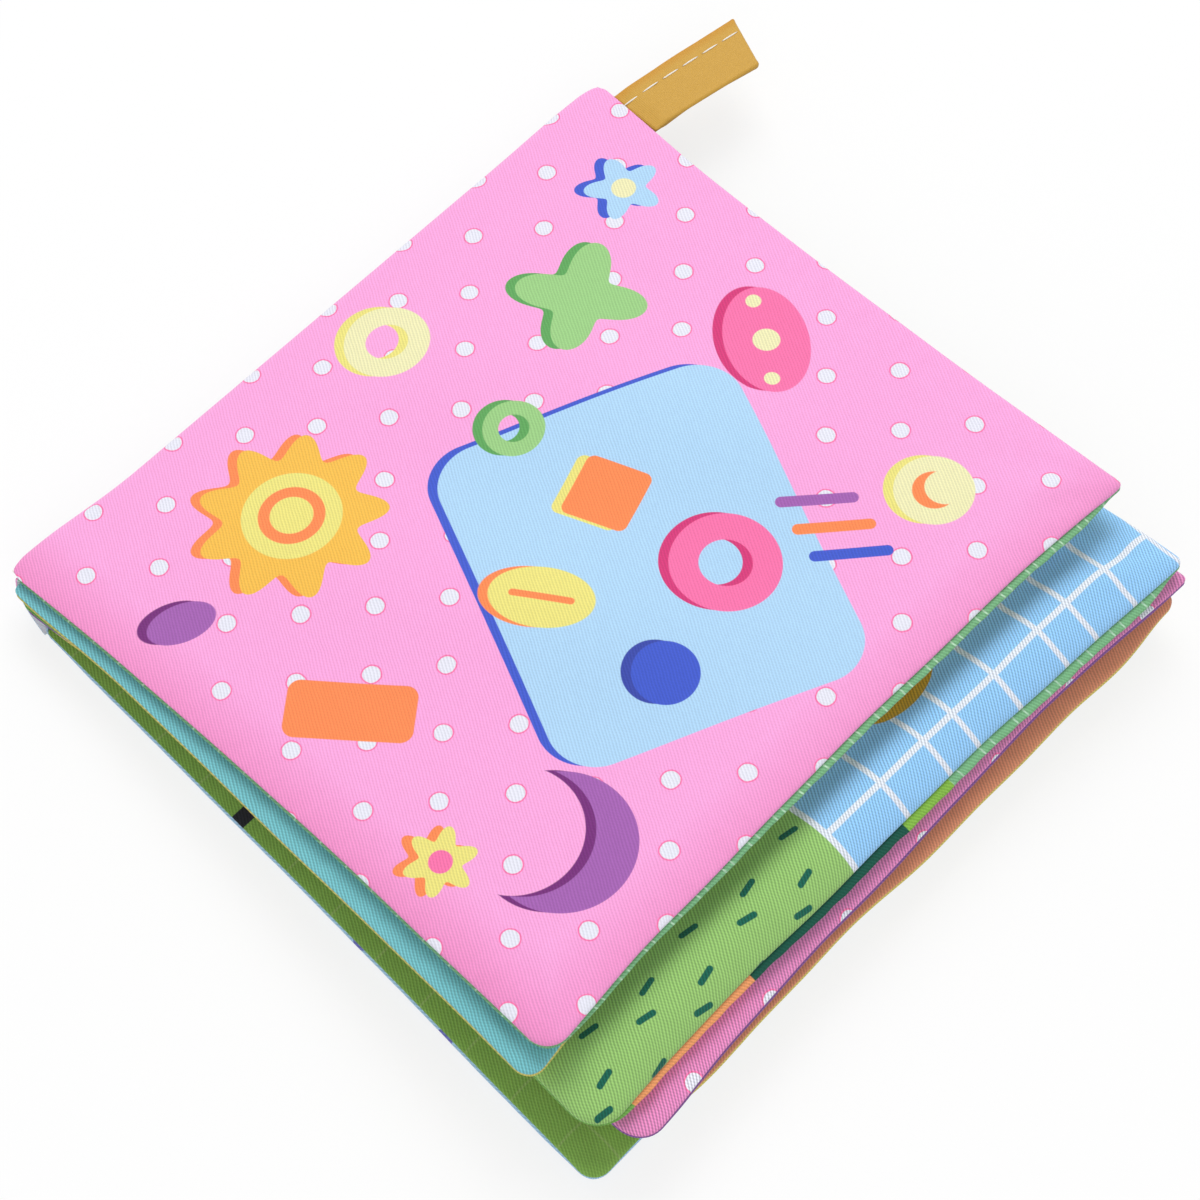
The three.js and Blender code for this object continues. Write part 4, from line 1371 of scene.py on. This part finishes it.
def fold_spine_strip(context, curve, number):
    """One strip of the spine cloth, between its two leaves."""
    scene = context.scene
    sizes, spine = scene.book_sizes, scene.spine_sizes
    strips = len(LEAF_FORMS) - 1
    middle, normal, lengths = curve.strip(number, strips)
    half = sizes.leaf_height / 2 - spine.fold_shortfall
    y = np.linspace(-half, half, FOLD_LENGTH_STEPS + 1)
    base, top = LeafShape(scene, LEAF_FORMS[0]), LeafShape(scene, LEAF_FORMS[-1])
    down = (lengths / curve.lengths[-1])[:, None]
    shifted = top.form.shift + (base.form.shift - top.form.shift) * down
    ripple = FOLD_RIPPLE * ragged(y, 4.0)[None, :] * np.sin(math.pi * down)
    flare = spine.end_flare * np.clip((abs(y) - half) / FLARE_REACH + 1, 0, 1)[None, :] ** 2
    grids = []
    for side in (1, -1):
        offset = side * spine.fold_thickness / 2 + ripple + flare * np.sin(math.pi * down) ** 0.5
        x = middle[:, :1] + normal[:, :1] * offset
        z = middle[:, 1:] + normal[:, 1:] * offset
        grids.append(stacked(x, y[None, :] + shifted * sizes.leaf_height, z))
    points, faces = closed_between(grids[1], grids[0])
    shift = np.array((-(base.low + base.high) / 2, -base.form.shift * sizes.leaf_height, 0))
    uv = stacked(-lengths[:, None], y).reshape(-1, 2)
    name = f"spine_fold_{strips - number}"
    piece = make_object(f"{name}_cloth", points + shift, faces, np.concatenate((uv, uv)))
    is_pink = number < strips / 2
    slot = "pink_dot_cotton" if is_pink else "light_blue_cotton"
    make_print = pink_twill if is_pink else blue_twill
    piece.data.materials.append(shared_material(f"spine_{slot}", make_print, context))
    piece.data.materials.append(shared_material("cotton_reverse", plain_reverse, context))
    cells = FOLD_STEPS * FOLD_LENGTH_STEPS
    indices = np.zeros(len(faces), np.int32)
    indices[:cells] = 1
    piece.data.polygons.foreach_set("material_index", indices)
    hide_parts(name)
    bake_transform(piece)


def pink_twill(name, inks):
    return printed_twill(name, pink_dots_print, inks)


def blue_twill(name, inks):
    return printed_twill(name, blue_dots_print, inks)


def tape_route(spine):
    """Middle line of the tape in the loop's own frame: sideways, outwards and up, and its direction."""
    leg_length = spine.loop_length - spine.tip_radius - spine.tape_thickness / 2
    upper_bow = spine.eye_height * spine.upper_leg
    lower_sag = spine.eye_height - upper_bow
    leg = np.linspace(0, 1, TAPE_LEG_STEPS + 1)
    bow = np.sin(math.pi * leg) ** 1.2
    rise = spine.tape_pitch / 2 + (spine.tip_radius - spine.tape_pitch / 2) * leg
    still = np.zeros_like(leg)
    upper = stacked(still, leg_length * leg, rise + upper_bow * bow)
    turn = np.linspace(0, math.pi, TAPE_TIP_STEPS + 1)[1:-1]
    tip = stacked(
        -spine.tip_drift * turn / math.pi,
        leg_length + spine.tip_radius * np.sin(turn),
        spine.tip_radius * np.cos(turn),
    )
    drift = spine.drift * bow + spine.tip_drift * leg
    lower = stacked(-drift, leg_length * leg, -rise - lower_sag * bow)[::-1]
    return np.concatenate((upper, tip, lower))


def tape_opening(spine):
    """How far the tape has opened along its route: it is squeezed where it leaves the seam."""
    leg = np.linspace(0, 1, TAPE_LEG_STEPS + 1)
    opening = 1 - TAPE_SQUEEZE * fade(leg * spine.loop_length / spine.squeeze_length)
    return np.concatenate((opening, np.ones(TAPE_TIP_STEPS - 1), opening[::-1]))[:, None]


def tape_surface(scene, across, offset):
    """Points of the tape at shares across its width, moved off its middle by an offset."""
    spine = scene.spine_sizes
    route = tape_route(spine)
    along = np.gradient(route[:, 1:], axis=0)
    along /= np.linalg.norm(along, axis=1)[:, None]
    x = route[:, :1] + route[:, 1:2] * math.tan(spine.slant) + spine.tape_width * (0.5 - across)[None, :]
    y = route[:, 1:2] * (1 + spine.skew * (across - 0.5))[None, :] - along[:, 1:] * offset
    z = route[:, 2:] * tape_opening(spine) + along[:, :1] * offset
    cover = LeafShape(scene, LEAF_FORMS[-1])
    points = stacked(x, y, z)
    points = points + np.array(
        (
            spine.loop_from_spine,
            cover.half + spine.loop_seat,
            cover.rim_height(spine.loop_from_spine),
        )
    )
    return cover.in_book(points)


def sew_tape_loop(context):
    """The satin tape loop, thicker along its two woven edges."""
    scene = context.scene
    spine = scene.spine_sizes
    across = (1 - np.cos(np.linspace(0, math.pi, TAPE_WIDTH_STEPS + 1))) / 2
    from_edge = spine.tape_width * np.minimum(across, 1 - across)
    bead = 1 + BEAD_RISE * np.exp(-((from_edge - BEAD_PLACE) / BEAD_WIDTH) ** 2)
    rounded = np.sqrt(np.clip(from_edge / TAPE_ROUNDING, THINNEST_EDGE, 1))
    half = (spine.tape_thickness / 2 * bead * rounded)[None, :] * tape_opening(spine)
    outer = tape_surface(scene, across, half)
    inner = tape_surface(scene, across, -half)
    points, faces = closed_between(inner, outer)
    route_lengths = lengths_along(tape_route(spine))
    uv = stacked(spine.tape_width * (0.5 - across), route_lengths[:, None]).reshape(-1, 2)
    piece = make_object("hanging_loop_tape", points, faces, np.concatenate((uv, uv)))
    piece.data.materials.append(shared_material("satin_tape", tape_material, context))
    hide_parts("hanging_loop")
    blend_over_head_seam(piece)


def blend_over_head_seam(piece):
    """Bakes the piece's transform into its mesh."""
    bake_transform(piece)


def stitch_tree():
    """Geometry Nodes that set one stitch after another along the edges of a path."""
    tree = bpy.data.node_groups.new("Running stitch", "GeometryNodeTree")
    sockets = {}
    tree.interface.new_socket("Path", in_out="INPUT", socket_type="NodeSocketGeometry")
    for name, default in (("Stitch Length", 0.002), ("Stitch Gap", 0.001), ("Thread Radius", 0.0002)):
        socket = tree.interface.new_socket(name, in_out="INPUT", socket_type="NodeSocketFloat")
        socket.default_value = default
        sockets[name] = socket.identifier
    socket = tree.interface.new_socket("Thread", in_out="INPUT", socket_type="NodeSocketMaterial")
    sockets["Thread"] = socket.identifier
    tree.interface.new_socket("Stitches", in_out="OUTPUT", socket_type="NodeSocketGeometry")

    add = Nodes(tree).add
    given = add("NodeGroupInput").outputs
    pitch = add("ShaderNodeMath", {0: given["Stitch Length"], 1: given["Stitch Gap"]}, operation="ADD")
    path = add("GeometryNodeMeshToCurve", {"Mesh": given["Path"]})
    points = add(
        "GeometryNodeResampleCurve", {"Curve": path.outputs[0], "Length": pitch.outputs[0]}, mode="LENGTH"
    )
    half = add("ShaderNodeMath", {0: given["Stitch Length"], 1: 0.5}, operation="MULTIPLY")
    size = add(
        "ShaderNodeCombineXYZ", {0: half.outputs[0], 1: given["Thread Radius"], 2: given["Thread Radius"]}
    )
    ball = add("GeometryNodeMeshUVSphere", {"Segments": 8, "Rings": 6, "Radius": 1.0})
    round_ball = add("GeometryNodeSetShadeSmooth", {"Geometry": ball.outputs["Mesh"]})
    turn = add(
        "FunctionNodeAlignRotationToVector", {"Vector": add("GeometryNodeInputTangent").outputs[0]}, axis="X"
    )
    placed = add(
        "GeometryNodeInstanceOnPoints",
        {
            "Points": points.outputs[0],
            "Instance": round_ball.outputs[0],
            "Rotation": turn.outputs[0],
            "Scale": size.outputs[0],
        },
    )
    real = add("GeometryNodeRealizeInstances", {0: placed.outputs[0]})
    dyed = add("GeometryNodeSetMaterial", {"Geometry": real.outputs[0], "Material": given["Thread"]})
    add("NodeGroupOutput", {0: dyed.outputs[0]})
    return tree, sockets


def sew_along(name, path, stitch, gap, radius, material):
    """Stitches along a path of points, as one plain mesh."""
    edges = [(i, i + 1) for i in range(len(path) - 1)]
    guide_mesh = bpy.data.meshes.new(f"{name}_path")
    guide_mesh.from_pydata([tuple(point) for point in path], edges, [])
    guide = link_object(f"{name}_path", guide_mesh)
    tree, sockets = stitch_tree()
    modifier = guide.modifiers.new("Stitches", "NODES")
    modifier.node_group = tree
    for socket, value in (
        ("Stitch Length", stitch), ("Stitch Gap", gap), ("Thread Radius", radius), ("Thread", material)
    ):
        modifier[sockets[socket]] = value
    evaluated = guide.evaluated_get(bpy.context.evaluated_depsgraph_get())
    mesh = bpy.data.meshes.new_from_object(evaluated)
    mesh.name = name
    bpy.data.objects.remove(guide)
    bpy.data.node_groups.remove(tree)
    return link_object(name, mesh)


class BookOperator:
    """What the book's operators have in common."""

    bl_options = {"REGISTER", "UNDO"}

    def leaf_shapes(self, context):
        return [LeafShape(context.scene, form) for form in LEAF_FORMS]


class CLOTHBOOK_OT_stuff_leaves(BookOperator, bpy.types.Operator):
    """Fill each leaf with wadding"""

    bl_idname = "clothbook.stuff_leaves"
    bl_label = "Stuff leaves"

    def execute(self, context):
        for shape in self.leaf_shapes(context):
            stuff_leaf(context, shape)
        return {"FINISHED"}


class CLOTHBOOK_OT_lay_films(BookOperator, bpy.types.Operator):
    """Lay a crinkled film over the wadding of each leaf"""

    bl_idname = "clothbook.lay_films"
    bl_label = "Lay crinkle films"

    def execute(self, context):
        for shape in self.leaf_shapes(context):
            lay_film(context, shape)
        return {"FINISHED"}


class CLOTHBOOK_OT_sew_cloths(BookOperator, bpy.types.Operator):
    """Sew an upper and a lower printed cloth round each leaf"""

    bl_idname = "clothbook.sew_cloths"
    bl_label = "Sew cloths"

    def execute(self, context):
        for shape in self.leaf_shapes(context):
            for side in (UPPER, LOWER):
                sew_cloth(context, shape, side)
        return {"FINISHED"}


class CLOTHBOOK_OT_stitch_rims(BookOperator, bpy.types.Operator):
    """Set the stitches that show in the crease of each leaf's rim seam"""

    bl_idname = "clothbook.stitch_rims"
    bl_label = "Stitch rims"

    def execute(self, context):
        thread = shared_material("rim_thread", thread_material, context)
        for shape in self.leaf_shapes(context):
            points, _, border, _ = cloth_points(shape, UPPER)
            count = len(border)
            ring = points[border - RINGS_BELOW_STITCHES * count]
            path = shape.in_book(ring)
            start = int(np.argmin(ring[:, 0] + ring[:, 1]))
            path = np.roll(path, -start, axis=0)[: int(STITCHED_SHARE * count)]
            name = f"{shape.form.name}_rim_stitches"
            piece = sew_along(name, path, RIM_STITCH, RIM_STITCH_GAP, RIM_THREAD_RADIUS, thread)
            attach(piece, shape.form.name)
        return {"FINISHED"}


class CLOTHBOOK_OT_twist_seam_thread(BookOperator, bpy.types.Operator):
    """Twist the three-ply thread that holds the leaves at the spine"""

    bl_idname = "clothbook.twist_seam_thread"
    bl_label = "Twist seam thread"

    def execute(self, context):
        spine = context.scene.spine_sizes
        low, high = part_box("spine_seam_thread")
        centre = (low + high) / 2
        y = np.linspace(low.y, high.y, THREAD_POINTS)
        around = np.linspace(0, 2 * math.pi, THREAD_SIDES, endpoint=False)
        turn = 2 * math.pi * (y - low.y) / spine.thread_lay
        lobes = 1 - PLY_DEPTH + PLY_DEPTH * np.cos(THREAD_PLIES * (around[None, :] - turn[:, None]))
        past = (abs(y - centre.y) - (high.y - low.y) / 2) / THREAD_END + 1
        ends = np.sqrt(np.clip(1 - np.clip(past, 0, 1) ** 2, BLUNT_END, 1))
        radius = spine.thread_radius * lobes * ends[:, None]
        x = centre.x + radius * np.cos(around)[None, :]
        z = centre.z + radius * np.sin(around)[None, :]
        points = stacked(x, y[:, None], z).reshape(-1, 3)
        rings = np.arange(len(y) * len(around)).reshape(len(y), len(around))
        after = np.roll(rings, -1, axis=1)
        sides = stacked(rings[:-1], rings[1:], after[1:], after[:-1]).reshape(-1, 4)
        faces = [*sides, rings[0], rings[-1][::-1]]
        piece = make_object("spine_seam_thread_twisted", points, faces)
        piece.data.materials.append(shared_material("twisted_thread", thread_material, context))
        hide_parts("spine_seam_thread")
        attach(piece, "back_cover")
        return {"FINISHED"}


class CLOTHBOOK_OT_fold_spine(BookOperator, bpy.types.Operator):
    """Fold the outer cloth round the spine, in one strip for each pair of leaves"""

    bl_idname = "clothbook.fold_spine"
    bl_label = "Fold spine"

    def execute(self, context):
        curve = FoldCurve(context.scene)
        for number in range(len(LEAF_FORMS) - 1):
            fold_spine_strip(context, curve, number)
        return {"FINISHED"}


class CLOTHBOOK_OT_sew_loop(BookOperator, bpy.types.Operator):
    """Sew the tape loop into the head seam, with its running stitches"""

    bl_idname = "clothbook.sew_loop"
    bl_label = "Sew tape loop"

    def execute(self, context):
        scene = context.scene
        spine = scene.spine_sizes
        sew_tape_loop(context)
        across = np.array([1 - spine.stitch_inset / spine.tape_width])
        above = spine.tape_thickness / 2 * tape_opening(spine) + 0.5 * spine.stitch_radius
        path = tape_surface(scene, across, above)[:, 0]
        path = path[FIRST_STITCH_STEP : TAPE_LEG_STEPS - 1]
        thread = shared_material("loop_thread", thread_material, context)
        piece = sew_along(
            "hanging_loop_stitches", path, spine.stitch, spine.stitch_gap, spine.stitch_radius, thread
        )
        blend_over_head_seam(piece)
        return {"FINISHED"}


class CLOTHBOOK_OT_set_stage(BookOperator, bpy.types.Operator):
    """Set up the floor, the lamps, the world and the camera"""

    bl_idname = "clothbook.set_stage"
    bl_label = "Set stage"

    def execute(self, context):
        look = context.scene.stage_look
        add_floor(look)
        add_lamp("key", KEY_PLACE, KEY_SIZE, look.key_power)
        add_lamp("fill", FILL_PLACE, FILL_SIZE, look.fill_power)
        light_world(context.scene, look)
        context.scene.view_settings.view_transform = "Standard"
        return {"FINISHED"}


class CLOTHBOOK_OT_place_camera(BookOperator, bpy.types.Operator):
    """Place the camera over the fore-edge and tail of the closed book"""

    bl_idname = "clothbook.place_camera"
    bl_label = "Place camera"

    def execute(self, context):
        look = context.scene.stage_look
        camera_data = bpy.data.cameras.new("camera")
        camera_data.sensor_width = SENSOR_WIDTH
        camera_data.lens = look.lens
        camera = link_object("camera", camera_data)
        turn = (
            Matrix.Rotation(look.azimuth, 4, "Z")
            @ Matrix.Rotation(QUARTER_TURN - look.elevation, 4, "X")
            @ Matrix.Rotation(look.roll, 4, "Z")
        )
        camera.matrix_world = Matrix.Translation(look.camera_place) @ turn
        context.scene.camera = camera
        return {"FINISHED"}


def seen_directly(nodes):
    """1 for rays from the camera, a gloss or a clear film, and 0 for light that falls on the book."""
    path = nodes.add("ShaderNodeLightPath").outputs
    seen = nodes.math("MAXIMUM", path["Is Camera Ray"], path["Is Glossy Ray"])
    return nodes.math("MAXIMUM", seen, path["Is Transmission Ray"])


def add_floor(look):
    """A pale floor that the camera sees as nearly white, with the book's shadow on it."""
    signs = ((-1, -1), (1, -1), (1, 1), (-1, 1))
    corners = np.array([(x * FLOOR_HALF, y * FLOOR_HALF, -look.floor_gap) for x, y in signs])
    floor = make_object("floor", corners, np.array([[0, 1, 2, 3]]))
    nodes = material_nodes("floor")
    paper = nodes.add("ShaderNodeBsdfDiffuse", {"Color": (0.9, 0.9, 0.9, 1)})
    white = nodes.add("ShaderNodeEmission", {"Color": (1, 1, 1, 1), "Strength": 1.0})
    amount = nodes.math("MULTIPLY", seen_directly(nodes), look.floor_lift)
    both = nodes.add("ShaderNodeMixShader", {0: amount, 1: paper.outputs[0], 2: white.outputs[0]})
    nodes.add("ShaderNodeOutputMaterial", {0: both.outputs[0]})
    floor.data.materials.append(nodes.owner)


def add_lamp(name, place, size, power):
    lamp_data = bpy.data.lights.new(name, "AREA")
    lamp_data.shape = "SQUARE"
    lamp_data.size = size
    lamp_data.energy = power
    lamp = link_object(name, lamp_data)
    lamp.location = place
    lamp.rotation_euler = (-Vector(place)).to_track_quat("-Z", "Y").to_euler()


def light_world(scene, look):
    scene.world = bpy.data.worlds.new("studio")
    nodes = Nodes.of(scene.world)
    range_of_level = {"Value": seen_directly(nodes), "To Min": look.world_level, "To Max": 1}
    level = nodes.add("ShaderNodeMapRange", range_of_level).outputs[0]
    background = nodes.add("ShaderNodeBackground", {"Color": (1, 1, 1, 1), "Strength": level})
    nodes.add("ShaderNodeOutputWorld", {0: background.outputs[0]})


PROPERTY_GROUPS = {
    "book_sizes": BookSizes,
    "cloth_sizes": ClothSizes,
    "spine_sizes": SpineSizes,
    "book_colours": BookColours,
    "stage_look": StageLook,
}
OPERATORS = (
    CLOTHBOOK_OT_place_camera,
    CLOTHBOOK_OT_stuff_leaves,
    CLOTHBOOK_OT_lay_films,
    CLOTHBOOK_OT_sew_cloths,
    CLOTHBOOK_OT_stitch_rims,
    CLOTHBOOK_OT_twist_seam_thread,
    CLOTHBOOK_OT_fold_spine,
    CLOTHBOOK_OT_sew_loop,
    CLOTHBOOK_OT_set_stage,
)


class CLOTHBOOK_PT_sidebar(bpy.types.Panel):
    """The steps of making the cloth book"""

    bl_label = "Cloth Book"
    bl_space_type = "VIEW_3D"
    bl_region_type = "UI"
    bl_category = "Cloth Book"

    def draw(self, context):
        for operator in OPERATORS:
            self.layout.operator(operator.bl_idname)


def register():
    for name, group in PROPERTY_GROUPS.items():
        bpy.utils.register_class(group)
        setattr(bpy.types.Scene, name, PointerProperty(type=group))
    for made in (*OPERATORS, CLOTHBOOK_PT_sidebar):
        bpy.utils.register_class(made)


def unregister():
    for made in reversed((*OPERATORS, CLOTHBOOK_PT_sidebar)):
        bpy.utils.unregister_class(made)
    for name, group in PROPERTY_GROUPS.items():
        delattr(bpy.types.Scene, name)
        bpy.utils.unregister_class(group)


def main():
    register()
    bpy.ops.clothbook.place_camera()
    bpy.ops.clothbook.stuff_leaves()
    bpy.ops.clothbook.lay_films()
    bpy.ops.clothbook.sew_cloths()
    bpy.ops.clothbook.stitch_rims()
    bpy.ops.clothbook.twist_seam_thread()
    bpy.ops.clothbook.fold_spine()
    bpy.ops.clothbook.sew_loop()
    bpy.ops.clothbook.set_stage()
    bpy.context.view_layer.update()


if __name__ == "__main__":
    main()
